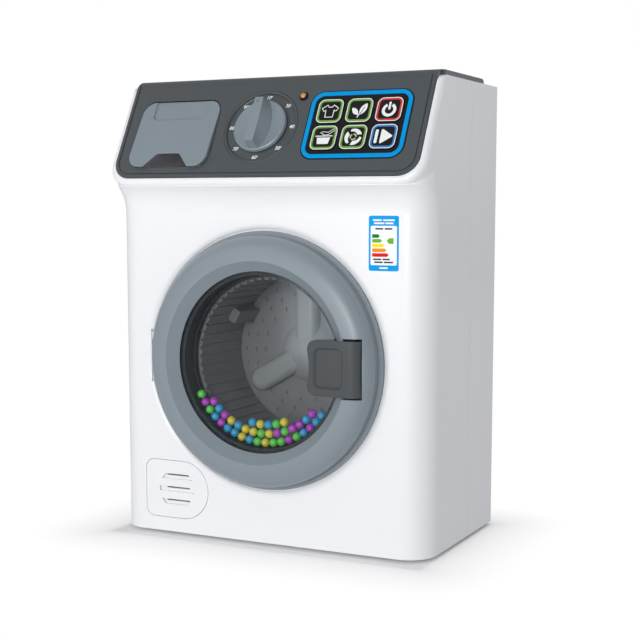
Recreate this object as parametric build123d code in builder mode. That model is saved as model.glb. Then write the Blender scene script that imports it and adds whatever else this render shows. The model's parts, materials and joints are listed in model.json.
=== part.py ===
"""Toy washing machine: a play appliance with a round opening door, drawer, dial and keys.

Frame: +X to the machine's left-to-right as one faces it, +Y towards its back, +Z up.
The origin is the middle of the underside of its bounding box. All lengths are millimetres.
Depths are counted backwards from the flat white front, heights from the underside of the case.
"""
from build123d import *
from math import asin, atan, atan2, cos, degrees, pi, radians, sin, sqrt, tan
import os

os.makedirs("parts", exist_ok=True)

# ---------------------------------------------------------------- driving dimensions
# case
case_width = 216.0
case_depth = 117.5
case_height = 289.0             # underside to the crest of the control panel
case_wall = 2.4
front_corner = 18.0             # upright front corners
rear_corner = 4.0
seam_depth = 71.0               # where front and rear shell meet
lid_thickness = 3.6             # the dark lid lies on the white walls
shell_top = case_height - lid_thickness
seam_gap = 0.3
foot_height = 2.0
foot_radius = 8.0
foot_across = case_width / 2 - 20.0
foot_depths = (22.0, 101.0)

# control panel
panel_slope = 28.0              # degrees from upright
crest_depth = 24.5
crest_radius = 10.0
fascia_half = case_width / 2 - 4.0
fascia_length = 70.8
fascia_corner = 12.5
fascia_thickness = 3.0
fascia_proud = 0.6
fascia_end = 30.0               # depth at which the dark lid takes over
lip_height = 4.2                # white lip under the fascia
rim_round = 3.4
head_corner = 16.0
head_depth = 55.0
head_foot = case_height - 51.0  # above this height the head alone makes the case
cove_start = case_height - 85.0
cove_end = cove_start + 17.3
cove_reach = 8.4
cove_levels = 6
arm_radius = 8.0                # crest of the white side arms
groove_inset = 2.2
groove_width = 0.9
groove_depth = 0.7
cover_half = case_width / 2 - 2.0
cover_end = case_depth - 19.5
cover_round = 3.0
part_gap = 0.3                  # between neighbouring trims

# door
door_height = 114.0             # door axis above the underside
ring_radius = 77.5
ring_wall = 2.4
ring_shoulder = 70.6            # where the front of the ring starts to round over
ring_crest = 62.3
crest_proud = 13.8
shoulder_proud = 12.6
flank_proud = 5.2
ring_back = 0.6                 # depth of the ring's back edge
glass_edge = 56.0
glass_edge_proud = 7.6
window_seat_proud = 5.4
window_radius = 58.6
window_thickness = 1.8
window_dome = 2.0
recess_radius = 81.5            # round seat in the front of the case
recess_depth = 3.0
recess_bevel = 3.6
case_opening = 60.0
liner_radius = 58.8
liner_bore = 53.4
liner_depth = 7.4
back_plate_radius = 80.2
back_plate_thickness = 2.0
liner_lip = 1.6
inner_window_thickness = 1.5
bead_radius = 2.75
bead_gap = 0.15
bead_depth = 0.6
bead_arcs = ((-63.0, 54.0), (-53.0, 51.0), (-12.0, 26.0))  # degrees from straight down

# hinge and latch
hinge_x = -79.9
hinge_depth = 1.2
hinge_barrel = 1.6
hinge_pin_radius = 0.8
hinge_lug_half = 10.0
hinge_ear_height = 4.6
hinge_gap = 0.4
hinge_pocket_half = 17.0
shaft_clearance = 0.05
latch_x = 65.4
latch_depth = -9.6
latch_roll = 6.0
latch_height = 33.4
latch_tip_x = 37.0
latch_tip_depth = -14.2         # front face of the grip at its free edge
latch_plate = 2.8
latch_pin_radius = 1.4
latch_corner = 6.0
latch_dent = 1.4                # how far the grip edge is scooped
grip_panel = (17.0, 22.0)
grip_panel_at = (14.2, 0.0)
grip_panel_corner = 3.0
grip_sink = 1.3
pocket_half = 18.0
pocket_wall = 2.5
pocket_left = 48.0
pocket_right = 72.0
hook_half = 5.0
hook_left = 62.9
hook_right = 65.9
hook_nose = 66.7
hook_end = 9.0
slot_right = 68.2

# drum drive
drum_front = 9.6
drum_radius = 53.0
drum_wall = 1.6
drum_back = 65.0
drum_floor = 2.0
drum_lip_radius = 50.2
notch_count = 60
notch_size = 2.2
joint_count = 48                 # long joints of the drum's wall
joint_width = 0.7
joint_depth = 0.6
dimple_radius = 1.6
dimple_rings = ((46.0, 30), (39.0, 24), (32.0, 18))
lobe_count = 3
lifter_height = 5.0
lifter_width = 9.0
lifter_length = 26.0
lobe_reach = 43.0
lobe_width = 16.0
lobe_height = 8.0
lobe_round = 5.0
hub_radius = 20.0
hub_height = 10.0
tub_radius = 58.0
tub_wall = 2.0
tub_back = 72.0
tub_lug_radius = 64.5
tub_flange_radius = 69.0
tub_front = 8.0
shaft_radius = 3.0
bush_radius = 5.0
bush_length = 8.0
bush_flange = 7.0
gear_module = 1.0
gear_teeth = 50
pinion_teeth = 10
gear_near = 76.0
gear_width = 6.0
gear_backlash = 0.12
bracket_near = 86.0
bracket_thickness = 2.0
motor_radius = 10.0
motor_length = 25.0
motor_flat = 15.4
motor_shaft_radius = 1.0
motor_bore_depth = 4.0
bracket_left = -9.0
bracket_right = 56.0
bracket_half = 33.0
post_radius = 3.0

# detergent drawer, seen from the front
drawer_x = -65.0
drawer_width = 56.6
drawer_high = case_height - 14.4
drawer_low = drawer_high - 41.1
drawer_corner = 8.0
drawer_gap = 0.6
drawer_plate = 2.6
plate_round = 0.6
drawer_tilt = 3.2               # the plate leans out this much more than the panel
drawer_top_proud = 1.0
spout_top = 8.0                 # half widths and height of the finger notch
spout_foot = 16.0
spout_height = 8.0
thumb_half = 19.0
thumb_height = 11.2
thumb_depth = 1.3
tray_half = 23.0
tray_low = drawer_low + 9.7
tray_high = tray_low + 22.8
tray_wall = 1.6
tray_end = 58.0
housing_half = 31.5
housing_low = drawer_low - 2.9
housing_high = drawer_high + 2.8
housing_wall = 1.8
housing_end = 66.0
rail_width = 8.2
rail_gap = 0.3

# dial, on the panel: x, and y up the slope from the crest
dial_at = (-4.9, -36.4)
dial_radius = 25.0
dial_seat = 2.4
dial_rim = 1.6
dish_drop = 1.3
knob_radius = 17.6
knob_gap = 0.5
knob_disc = 3.0
knob_grip = 7.2
grip_foot = 7.4                  # half width of the bowed foot in its middle
grip_top = 3.1
grip_reach = 16.4
grip_lead = 1.4                  # how much shorter the ridge is at each end
knob_dish = 1.6
knob_shaft_radius = 3.0
rotary_size = 14.0
indicator_at = (19.9, -16.1)
indicator_radius = 2.25

# keypad
pad_at = (59.5, -36.5)
pad_width = 65.7
pad_height = 45.2
pad_corner = 8.0
pad_frame = 2.7
pad_proud = 0.7
pad_lip = 1.8
key_width = 17.0
key_height = 16.7
key_corner = 4.2
key_pitch = (19.25, 18.1)
key_gap = 0.25
key_proud = 0.5
key_stem = 2.5
board_drop = 13.0
board_thickness = 1.6
mat_thickness = 1.5

# speaker grille, on the front
grille_left = -86.9
grille_right = -40.8
grille_low = 9.4
grille_high = 46.5
grille_corner = 6.0
grille_gap = 0.35
grille_flange = 1.5
grille_border = 1.2
slot_height = 3.3
slot_pitch = 8.3
slot_depth = 1.8
slot_halves = (13.1, 11.5, 8.6)  # middle slot, then the long and short side of the outer two
speaker_radius = 15.5
speaker_ring = 1.4
speaker_ring_depth = 6.5
speaker_depth = 11.0

# label
label_at = (case_width / 2 - 27.7, cove_start - 16.4)
label_size = (19.1, 32.2)
label_thickness = 0.15

# power
cell_radius = 7.1
cell_length = 49.0
cell_nub = (2.7, 1.2)
cell_pitch = 15.4
cell_count = 3
box_wall = 1.6
box_depth = 17.2
box_low = 16.0
contact_thickness = 0.5
cover_border = 3.0
screw_radius = 1.5
screw_head = 2.8
screw_head_height = 2.0
pillar_radius = 4.0
pillar_bore = 1.4
pillar_across = case_width / 2 - 11.0
pillar_heights = (18.0, case_height - 84.0)
screw_well = 40.0
switch_at = (64.0, 40.0)
switch_size = (16.0, 8.0)
slider_size = (5.0, 4.4)
slider_proud = 1.6
slider_travel = 4.0
cover_head = 1.2

# ---------------------------------------------------------------- derived places
handle_proud = latch_roll - latch_depth
front_y = (handle_proud - case_depth) / 2
slope_sin = sin(radians(panel_slope))
slope_cos = cos(radians(panel_slope))
crest_z = foot_height + case_height
door_z = foot_height + door_height
gear_distance = gear_module * (gear_teeth + pinion_teeth) / 2
back_face = case_depth - case_wall
recess_floor = recess_depth + case_wall


def front_at(depth):
    """Plane facing the viewer; its sketch y is the height above the case's underside."""
    return Plane(origin=(0, front_y + depth, foot_height), x_dir=(1, 0, 0), z_dir=(0, -1, 0))


def door_at(depth):
    """Plane facing the viewer, centred on the door's axis."""
    return Plane(origin=(0, front_y + depth, door_z), x_dir=(1, 0, 0), z_dir=(0, -1, 0))


def level_at(height):
    """Level plane; its sketch y is the depth behind the front, counted backwards."""
    return Plane(origin=(0, front_y, foot_height + height), x_dir=(1, 0, 0), z_dir=(0, 0, 1))


def side_at(across):
    """Upright plane facing +X; its sketch x is depth and its sketch y is height."""
    return Plane(origin=(across, front_y, foot_height), x_dir=(0, 1, 0), z_dir=(1, 0, 0))


def panel_at(proud):
    """Plane of the control panel; its sketch y runs up the slope and is 0 at the crest."""
    foot = Plane(
        origin=(0, front_y + crest_depth, crest_z),
        x_dir=(1, 0, 0),
        z_dir=(0, -slope_cos, slope_sin),
    )
    return foot.offset(proud)


def slope_point(along, proud):
    """(depth, height) of a point on the panel, for sketches on side_at."""
    depth = crest_depth + along * slope_sin - proud * slope_cos
    height = case_height + along * slope_cos + proud * slope_sin
    return depth, height


# section plane through the door axis: sketch x is the radius, sketch y the depth
door_section = Plane(origin=(0, front_y, door_z), x_dir=(1, 0, 0), z_dir=(0, 0, 1))
door_axis = Axis((0, front_y, door_z), (0, 1, 0))


def finish(builder, label):
    """Name a finished piece and write its file."""
    builder.part.label = label
    export_step(builder.part, f"parts/{label}.step")


# ---------------------------------------------------------------- case shells
def cove_lead(height):
    """How far the front stands ahead of the flat front at this height of the cove."""
    rise = cove_end - cove_start
    radius = (rise**2 + cove_reach**2) / (2 * cove_reach)
    above = height - cove_start
    return radius - sqrt(radius**2 - above**2)


def plan_outline(lead, inset):
    """Outline of the case seen from above, with its front drawn forward by lead."""
    near = inset - lead
    far = case_depth - inset
    with BuildSketch() as outline:
        with Locations((0, (near + far) / 2)):
            Rectangle(case_width - 2 * inset, far - near)
        corners = outline.vertices().group_by(Axis.Y)
        fillet(corners[0], front_corner - inset)
        fillet(corners[-1], rear_corner - inset)
    return outline.sketch


def case_body(inset):
    """The upright case with its cove, as one solid drawn in by inset on every side."""
    with BuildPart() as body:
        with BuildSketch(level_at(inset)):
            add(plan_outline(0, inset))
        extrude(amount=cove_start - inset)
        for step in range(cove_levels):
            height = cove_start + (cove_end - cove_start) * step / (cove_levels - 1)
            with BuildSketch(level_at(height)):
                add(plan_outline(cove_lead(height), inset))
        loft()
        with BuildSketch(level_at(cove_end)):
            add(plan_outline(cove_reach, inset))
        extrude(amount=shell_top - cove_end - inset)
        with BuildSketch(panel_at(-case_wall - inset)):
            Rectangle(2 * case_width, 4 * fascia_length)
        extrude(amount=case_width, mode=Mode.SUBTRACT)
        with BuildSketch(side_at(0)):
            with Locations((0, head_foot)):
                Rectangle(
                    crest_depth + head_depth / 2, case_height, align=(Align.MIN, Align.MIN)
                )
        extrude(amount=case_width, both=True, mode=Mode.SUBTRACT)
    return body.part


def case_head(inset):
    """The sloped head of the case: lip, rim and the arms beside the panel."""
    lower = fascia_length + lip_height - inset
    upper = 3 * crest_radius
    with BuildPart() as head:
        with BuildSketch(panel_at(-inset)) as outline:
            with Locations((0, (upper - lower) / 2)):
                Rectangle(case_width - 2 * inset, upper + lower)
            fillet(outline.vertices().group_by(Axis.Y)[0], head_corner - inset)
        extrude(amount=-head_depth - 2 * inset)
        rim = head.faces().sort_by(Axis((0, 0, 0), (0, -slope_cos, slope_sin)))[-1]
        if inset < rim_round:
            fillet(rim.edges().sort_by(Axis.Z)[:-1], rim_round - inset)
        with BuildSketch(side_at(0)) as profile:
            with BuildLine():
                start = slope_point(-2 * fascia_length, -inset)
                knee = slope_point((shell_top - inset - case_height) / slope_cos, 0)
                Polyline(
                    start,
                    (knee[0] + inset / slope_cos, shell_top - inset),
                    (case_depth, shell_top - inset),
                    (case_depth, start[1]),
                    close=True,
                )
            make_face()
            fillet(profile.vertices().sort_by(Axis.Y)[-2:].sort_by(Axis.X)[0], arm_radius)
        extrude(amount=case_width, both=True, mode=Mode.INTERSECT)
    return head.part


with BuildPart() as case_outer:
    add(case_body(0))
    add(case_head(0))

with BuildPart() as case_inner:
    add(case_body(case_wall))
    add(case_head(case_wall))


def bored_pillars(builder_plane, radius, length):
    """Screw pillars at the four corners of the case, drawn on the given plane."""
    spots = [(side * pillar_across, height) for side in (-1, 1) for height in pillar_heights]
    with BuildPart() as pillars:
        with BuildSketch(builder_plane):
            with Locations(*spots):
                Circle(radius)
        extrude(amount=length)
    return pillars.part


def grille_outline(grow):
    """D outline of the grille: two rounded corners on the left, a half round on the right."""
    half = (grille_high - grille_low) / 2 + grow
    middle = (grille_high + grille_low) / 2
    left = grille_left - grow
    right = grille_right + grow
    with BuildSketch() as outline:
        with Locations(((left + right - half) / 2, middle)):
            Rectangle(right - half - left, 2 * half)
        fillet(outline.vertices().group_by(Axis.X)[0], grille_corner + grow)
        with Locations((right - half, middle)):
            Circle(half)
    return outline.sketch


def pad_outline(inset):
    """Rounded outline of the keypad, drawn in by inset."""
    with BuildSketch() as outline:
        with Locations(pad_at):
            RectangleRounded(pad_width - 2 * inset, pad_height - 2 * inset, pad_corner - inset)
    return outline.sketch


def drawer_outline(grow):
    """Outline of the drawer's front plate seen from the front."""
    with BuildSketch() as outline:
        with Locations((drawer_x, (drawer_low + drawer_high) / 2)):
            RectangleRounded(
                drawer_width + 2 * grow, drawer_high - drawer_low + 2 * grow, drawer_corner + grow
            )
    return outline.sketch


fascia_seat = fascia_thickness - fascia_proud
seat_ledge = 2.0
seat_border = 5.0
recess_rim = recess_radius + recess_bevel
bevel_foot = recess_depth / 2
bevel_arc = (recess_bevel**2 + bevel_foot**2) / (2 * bevel_foot)
hinge_pocket_side = 2.2
ear_start = hinge_lug_half + hinge_gap

with BuildPart() as front_shell:
    add(case_outer.part)
    add(case_inner.part, mode=Mode.SUBTRACT)
    # ledge that the control panel rests on
    with BuildSketch(panel_at(-fascia_seat - seat_ledge)):
        with Locations((0, -fascia_length / 2)):
            Rectangle(case_width, fascia_length + 2 * lip_height)
    extrude(amount=seat_ledge)
    add(bored_pillars(front_at(seam_depth), pillar_radius, seam_depth))
    # thicker seat behind the door
    with BuildSketch(door_at(recess_floor)):
        Circle(recess_rim + case_wall)
    extrude(amount=recess_floor - case_wall / 2)
    add(case_outer.part, mode=Mode.INTERSECT)
    with BuildSketch(front_at(seam_depth)):
        with Locations((0, case_height / 2)):
            Rectangle(2 * case_width, 2 * case_height)
    extrude(amount=-case_depth, mode=Mode.SUBTRACT)
    # pocket and window for the control panel
    with BuildSketch(panel_at(-fascia_seat)) as pocket:
        with Locations((0, (2 * crest_radius - fascia_length - part_gap) / 2)):
            Rectangle(
                2 * (fascia_half + part_gap), fascia_length + part_gap + 2 * crest_radius
            )
        fillet(pocket.vertices().group_by(Axis.Y)[0], fascia_corner + part_gap)
    extrude(amount=3 * fascia_thickness, mode=Mode.SUBTRACT)
    with BuildSketch(panel_at(-fascia_seat)):
        with Locations((0, -fascia_length / 2 - seat_border / 2)):
            RectangleRounded(
                2 * (fascia_half - seat_border),
                fascia_length - 3 * seat_border,
                fascia_corner - seat_border,
            )
        add(pad_outline(0))
    extrude(amount=-2 * seat_ledge, mode=Mode.SUBTRACT)
    with BuildSketch(front_at(housing_end)):
        with Locations((drawer_x, (housing_low + housing_high) / 2)):
            Rectangle(
                2 * (housing_half + part_gap), housing_high - housing_low + 2 * part_gap
            )
    extrude(amount=case_depth, mode=Mode.SUBTRACT)
    # round seat of the door, its bevel and the loading hole
    with BuildSketch(door_section):
        with BuildLine():
            Polyline(
                (0, -case_wall),
                (recess_rim + case_wall, -case_wall),
                (recess_rim, 0),
            )
            CenterArc(
                (recess_rim, bevel_arc), bevel_arc, -90, -degrees(asin(recess_bevel / bevel_arc))
            )
            Polyline(
                (recess_radius, bevel_foot),
                (recess_radius, recess_depth),
                (0, recess_depth),
                (0, -case_wall),
            )
        make_face()
    revolve(axis=door_axis, mode=Mode.SUBTRACT)
    with BuildSketch(door_at(recess_floor)):
        Circle(case_opening)
    extrude(amount=case_depth, both=True, mode=Mode.SUBTRACT)
    with BuildSketch(door_at(recess_floor)):
        with Locations(((hook_left + slot_right) / 2 - 3, 0)):
            Rectangle(slot_right - hook_left + 6, 2 * (hook_half + 2))
    extrude(amount=recess_floor, mode=Mode.SUBTRACT)
    # hinge pocket and the two ears in it
    with BuildSketch(door_at(recess_depth)):
        with Locations((hinge_x, 0)):
            Rectangle(2 * hinge_pocket_side, 2 * hinge_pocket_half)
    extrude(amount=recess_floor, mode=Mode.SUBTRACT)
    for start in (ear_start, -ear_start - hinge_ear_height):
        with BuildSketch(level_at(door_height + start)):
            with Locations((hinge_x, hinge_depth)):
                Circle(hinge_barrel)
            with Locations((hinge_x, (hinge_depth + recess_depth + case_wall / 2) / 2)):
                Rectangle(2 * hinge_barrel, recess_depth + case_wall / 2 - hinge_depth)
            with Locations((hinge_x, hinge_depth)):
                Circle(hinge_pin_radius, mode=Mode.SUBTRACT)
        extrude(amount=hinge_ear_height)
    # speaker grille hole and screw bores
    with BuildSketch(front_at(case_wall)):
        add(grille_outline(grille_gap))
    extrude(amount=2 * case_wall, both=True, mode=Mode.SUBTRACT)
    with BuildSketch(front_at(case_wall)):
        add(grille_outline(grille_border + part_gap))
    extrude(amount=-case_wall * 2, mode=Mode.SUBTRACT)
    add(
        bored_pillars(front_at(seam_depth), pillar_bore, seam_depth / 4),
        mode=Mode.SUBTRACT,
    )
    with BuildSketch(door_at(recess_floor)):
        with PolarLocations(tub_lug_radius, 4, 45):
            Circle(pillar_bore)
    extrude(amount=case_wall / 2, mode=Mode.SUBTRACT)
finish(front_shell, "front_shell")

battery_inner_width = cell_length + cell_nub[1] + 2 * contact_thickness + 0.4
battery_inner_height = cell_count * cell_pitch
battery_middle = box_low + box_wall + battery_inner_height / 2
cover_width = battery_inner_width + 2 * cover_border
cover_height = battery_inner_height + 2 * cover_border
cover_thickness = case_wall - 0.8
tab_radius = 5.0
tab_height = battery_middle + cover_height / 2 + 3
cover_gap = 0.25
well_size = (slider_size[0] + slider_travel + 3, slider_size[1] + 3)


def cover_outline(grow):
    """Outline of the battery cover with its screw tab."""
    with BuildSketch() as outline:
        with Locations((0, battery_middle)):
            RectangleRounded(cover_width + 2 * grow, cover_height + 2 * grow, 2.5 + grow)
        with Locations((0, tab_height)):
            Circle(tab_radius + grow)
    return outline.sketch


with BuildPart() as rear_shell:
    add(case_outer.part)
    add(case_inner.part, mode=Mode.SUBTRACT)
    add(bored_pillars(front_at(case_depth), pillar_radius, case_depth - seam_depth))
    with BuildSketch(front_at(case_depth)):
        with Locations((0, tab_height)):
            Circle(screw_head + 1)
    extrude(amount=case_wall + 8)
    add(case_outer.part, mode=Mode.INTERSECT)
    with BuildSketch(front_at(seam_depth + seam_gap)):
        with Locations((0, case_height / 2)):
            Rectangle(2 * case_width, 2 * case_height)
    extrude(amount=case_depth, mode=Mode.SUBTRACT)
    add(bored_pillars(front_at(case_depth), screw_head + 0.3, screw_well), mode=Mode.SUBTRACT)
    add(bored_pillars(front_at(case_depth), screw_radius + 0.1, case_depth), mode=Mode.SUBTRACT)
    # battery opening with the seat of its cover
    with BuildSketch(front_at(case_depth)):
        add(cover_outline(cover_gap))
    extrude(amount=cover_thickness, mode=Mode.SUBTRACT)
    with BuildSketch(front_at(case_depth)):
        with Locations((0, battery_middle)):
            Rectangle(battery_inner_width, battery_inner_height)
    extrude(amount=2 * case_wall, mode=Mode.SUBTRACT)
    with BuildSketch(front_at(case_depth)):
        with Locations((0, tab_height)):
            Circle(screw_radius)
    extrude(amount=case_wall + 7, mode=Mode.SUBTRACT)
    # well and slot of the power switch
    with BuildSketch(front_at(case_depth)):
        with Locations(switch_at):
            RectangleRounded(*well_size, 2)
    extrude(amount=slider_proud, mode=Mode.SUBTRACT)
    with BuildSketch(front_at(case_depth)):
        with Locations(switch_at):
            Rectangle(slider_size[0] + slider_travel + 0.6, slider_size[1] + 0.5)
    extrude(amount=2 * case_wall, mode=Mode.SUBTRACT)
finish(rear_shell, "rear_shell")

with BuildPart() as case_screws:
    well_floor = case_depth - screw_well
    add(bored_pillars(front_at(well_floor), pillar_bore - 0.05, well_floor - seam_depth + 9))
    add(bored_pillars(front_at(well_floor + screw_head_height), screw_head, screw_head_height))
    with BuildSketch(front_at(well_floor + screw_head_height)):
        with Locations(*[(s * pillar_across, h) for s in (-1, 1) for h in pillar_heights]):
            Rectangle(0.8, 3.6)
            Rectangle(3.6, 0.8)
    extrude(amount=1, mode=Mode.SUBTRACT)
finish(case_screws, "case_screws")

with BuildPart() as feet:
    with BuildSketch(level_at(-foot_height)):
        with Locations(*[(s * foot_across, d) for s in (-1, 1) for d in foot_depths]):
            Circle(foot_radius)
    extrude(amount=foot_height)
finish(feet, "feet")

# ---------------------------------------------------------------- control panel
board_posts = [(x, y) for x in (-27.0, fascia_half - 9.5) for y in (-14.5, -58.5)]
post_width = 2.4

with BuildPart() as control_fascia:
    with BuildSketch(side_at(0)) as profile:
        with BuildLine():
            inner_knee = (shell_top - case_height + fascia_seat * slope_sin) / slope_cos
            Polyline(
                slope_point(-fascia_length, fascia_proud),
                slope_point(-fascia_proud * slope_sin / slope_cos, fascia_proud),
                (fascia_end, case_height),
                (fascia_end, shell_top),
                slope_point(inner_knee, -fascia_seat),
                slope_point(-fascia_length, -fascia_seat),
                close=True,
            )
        make_face()
        fillet(profile.vertices().sort_by(Axis.Y)[-2:].sort_by(Axis.X)[0], crest_radius)
    extrude(amount=fascia_half, both=True)
    with BuildSketch(panel_at(0)) as outline:
        with Locations((0, (2 * crest_radius - fascia_length) / 2)):
            Rectangle(2 * fascia_half, fascia_length + 2 * crest_radius)
        fillet(outline.vertices().group_by(Axis.Y)[0], fascia_corner)
    extrude(amount=3 * fascia_thickness, both=True, mode=Mode.INTERSECT)
    # bead groove along the rim
    with BuildSketch(panel_at(fascia_proud - groove_depth)):
        for inset, mode in ((groove_inset, Mode.ADD), (groove_inset + groove_width, Mode.SUBTRACT)):
            with Locations((0, (2 * crest_radius - fascia_length + inset) / 2)):
                RectangleRounded(
                    2 * (fascia_half - inset),
                    fascia_length + 2 * crest_radius - inset,
                    fascia_corner - inset,
                    mode=mode,
                )
    extrude(amount=2 * groove_depth, mode=Mode.SUBTRACT)
    # openings: drawer, dial seat and shaft, indicator, keypad
    with BuildSketch(front_at(case_depth)):
        add(drawer_outline(drawer_gap))
    extrude(amount=2 * case_depth, mode=Mode.SUBTRACT)
    with BuildSketch(panel_at(fascia_proud)):
        with Locations(dial_at):
            Circle(dial_radius + part_gap / 2)
    extrude(amount=-dial_seat, mode=Mode.SUBTRACT)
    with BuildSketch(panel_at(fascia_proud)):
        with Locations(dial_at):
            Circle(dial_radius / 2)
        with Locations(indicator_at):
            Circle(indicator_radius + part_gap / 2)
        add(pad_outline(pad_frame))
    extrude(amount=-2 * fascia_thickness, mode=Mode.SUBTRACT)
    # posts for the circuit board
    with BuildSketch(panel_at(-board_drop)):
        with Locations(*board_posts):
            Circle(post_width)
    extrude(amount=board_drop - fascia_seat)
finish(control_fascia, "control_fascia")

with BuildPart() as top_cover:
    with BuildSketch(side_at(0)) as profile:
        with BuildLine():
            Polyline(
                (fascia_end + part_gap, shell_top),
                (cover_end, shell_top),
                (cover_end, case_height),
                (fascia_end + part_gap, case_height),
                close=True,
            )
        make_face()
        fillet(profile.vertices().group_by(Axis.X)[-1].sort_by(Axis.Y)[-1], cover_round)
    extrude(amount=cover_half, both=True)
    fillet(top_cover.faces().sort_by(Axis.Z)[-1].edges().sort_by(Axis.X)[0], 0.8)
    fillet(top_cover.faces().sort_by(Axis.Z)[-1].edges().sort_by(Axis.X)[-1], 0.8)
finish(top_cover, "top_cover")


def around_panel(spot):
    """Section plane through a spot on the panel: sketch x is radius, sketch y stands proud."""
    middle = panel_at(0).from_local_coords((spot[0], spot[1], 0))
    return Plane(origin=middle, x_dir=(1, 0, 0), z_dir=(0, -slope_sin, -slope_cos))


def panel_axis(spot):
    """Axis square to the panel at a spot."""
    middle = panel_at(0).from_local_coords((spot[0], spot[1], 0))
    return Axis(middle, (0, -slope_cos, slope_sin))


dial_floor = fascia_proud - dial_seat
dish_low = fascia_proud - dish_drop + 0.3
shaft_hole = knob_shaft_radius + 0.4

with BuildPart() as dial_plate:
    with BuildSketch(around_panel(dial_at)):
        with BuildLine():
            Polyline(
                (knob_radius + 1, dish_low),
                (shaft_hole, dish_low),
                (shaft_hole, dial_floor),
                (dial_radius, dial_floor),
                (dial_radius, fascia_proud),
                (dial_radius - dial_rim / 3, fascia_proud + 0.5),
                (dial_radius - dial_rim, fascia_proud + 0.3),
                (dial_radius - dial_rim - 0.5, dish_low + 0.2),
                (dial_radius - dial_rim - 0.8, dish_low),
                (knob_radius + 1, dish_low),
            )
        make_face()
    revolve(axis=panel_axis(dial_at))
finish(dial_plate, "dial_plate")

knob_low = dish_low + knob_gap
knob_high = knob_low + knob_disc
grip_high = knob_low + knob_disc + knob_grip
shaft_top = knob_high + knob_grip / 3
rotary_top = -board_drop + 7.0
shaft_end = rotary_top - 3.4


def grip_outline(waist, end, reach):
    """Bowed bar of the knob: widest in the middle, blunt at both ends."""
    with BuildSketch() as outline:
        with BuildLine():
            ThreePointArc((-end, -reach), (-waist, 0), (-end, reach))
            Line((-end, reach), (end, reach))
            ThreePointArc((end, reach), (waist, 0), (end, -reach))
            Line((end, -reach), (-end, -reach))
        make_face()
    return outline.sketch


with BuildPart() as temperature_knob:
    with BuildSketch(around_panel(dial_at)):
        with BuildLine():
            edge = Polyline(
                (0, knob_high - knob_dish),
                (0, knob_low),
                (knob_radius - 0.8, knob_low),
                (knob_radius, knob_low + 0.8),
                (knob_radius - 0.3, knob_high - 0.5),
                (knob_radius - 1.1, knob_high),
                (knob_radius - 2.0, knob_high - 0.3),
            )
            ThreePointArc(edge @ 1, (knob_radius / 2, knob_high - 0.9 * knob_dish), edge @ 0)
        make_face()
    revolve(axis=panel_axis(dial_at))
    with BuildSketch(panel_at(knob_high - knob_dish)):
        with Locations(dial_at):
            add(grip_outline(grip_foot, grip_top, grip_reach))
    with BuildSketch(panel_at(grip_high)):
        with Locations(dial_at):
            add(grip_outline(grip_top, grip_top - 0.3, grip_reach - grip_lead))
    loft()
    with BuildSketch(panel_at(shaft_top)):
        with Locations(dial_at):
            Circle(knob_shaft_radius)
    extrude(amount=-case_depth / 4, mode=Mode.SUBTRACT)
finish(temperature_knob, "temperature_knob")

with BuildPart() as knob_shaft:
    with BuildSketch(panel_at(shaft_top)):
        with Locations(dial_at):
            Circle(knob_shaft_radius)
    extrude(amount=shaft_end - shaft_top)
finish(knob_shaft, "knob_shaft")

with BuildPart() as rotary_switch:
    with BuildSketch(panel_at(-board_drop)):
        with Locations(dial_at):
            RectangleRounded(rotary_size, rotary_size, 1)
    extrude(amount=rotary_top + board_drop)
    with BuildSketch(panel_at(rotary_top)):
        with Locations(dial_at):
            Circle(knob_shaft_radius + shaft_clearance)
    extrude(amount=shaft_end - rotary_top - part_gap, mode=Mode.SUBTRACT)
finish(rotary_switch, "rotary_switch")

with BuildPart() as control_board:
    (left, low), (right, high) = board_posts[1], board_posts[2]
    with BuildSketch(panel_at(-board_drop - board_thickness)):
        with Locations(((left + right) / 2, (low + high) / 2)):
            Rectangle(right - left + 2 * post_width, high - low + 2 * post_width)
    extrude(amount=board_thickness)
finish(control_board, "control_board")

with BuildPart() as indicator_lens:
    with BuildSketch(around_panel(indicator_at)):
        with BuildLine():
            foot = -fascia_seat - 1.0
            Polyline(
                (0, fascia_proud + indicator_radius),
                (0, foot),
                (indicator_radius + 1, foot),
                (indicator_radius + 1, -fascia_seat),
                (indicator_radius, -fascia_seat),
                (indicator_radius, fascia_proud),
            )
            CenterArc((0, fascia_proud), indicator_radius, 0, 90)
        make_face()
    revolve(axis=panel_axis(indicator_at))
finish(indicator_lens, "indicator_lens")

with BuildPart() as indicator_led:
    with BuildSketch(panel_at(-board_drop)):
        with Locations(indicator_at):
            Circle(indicator_radius - 0.5)
    extrude(amount=board_drop - fascia_seat - 1.0 - part_gap)
finish(indicator_led, "indicator_led")

with BuildPart() as keypad_frame:
    with BuildSketch(panel_at(fascia_proud)):
        add(pad_outline(0))
        add(pad_outline(pad_frame), mode=Mode.SUBTRACT)
    extrude(amount=pad_proud)
    outer_rim = keypad_frame.faces().sort_by(Axis((0, 0, 0), (0, -slope_cos, slope_sin)))[-1]
    fillet(outer_rim.edges(), pad_proud / 2)
finish(keypad_frame, "keypad_frame")

key_spots = [
    (pad_at[0] + column * key_pitch[0], pad_at[1] + row * key_pitch[1] / 2)
    for row in (1, -1)
    for column in (-1, 0, 1)
]
bezel_back = -fascia_seat - pad_lip

with BuildPart() as keypad_bezel:
    with BuildSketch(panel_at(bezel_back)):
        add(pad_outline(pad_frame + 0.15))
    extrude(amount=fascia_proud + pad_proud / 2 - bezel_back)
    with BuildSketch(panel_at(bezel_back)):
        add(pad_outline(pad_frame - pad_lip))
    extrude(amount=pad_lip)
    with BuildSketch(panel_at(bezel_back)):
        with Locations(*key_spots):
            RectangleRounded(
                key_width + 2 * key_gap, key_height + 2 * key_gap, key_corner + key_gap
            )
    extrude(amount=case_wall * 4, mode=Mode.SUBTRACT)
finish(keypad_bezel, "keypad_bezel")

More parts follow.
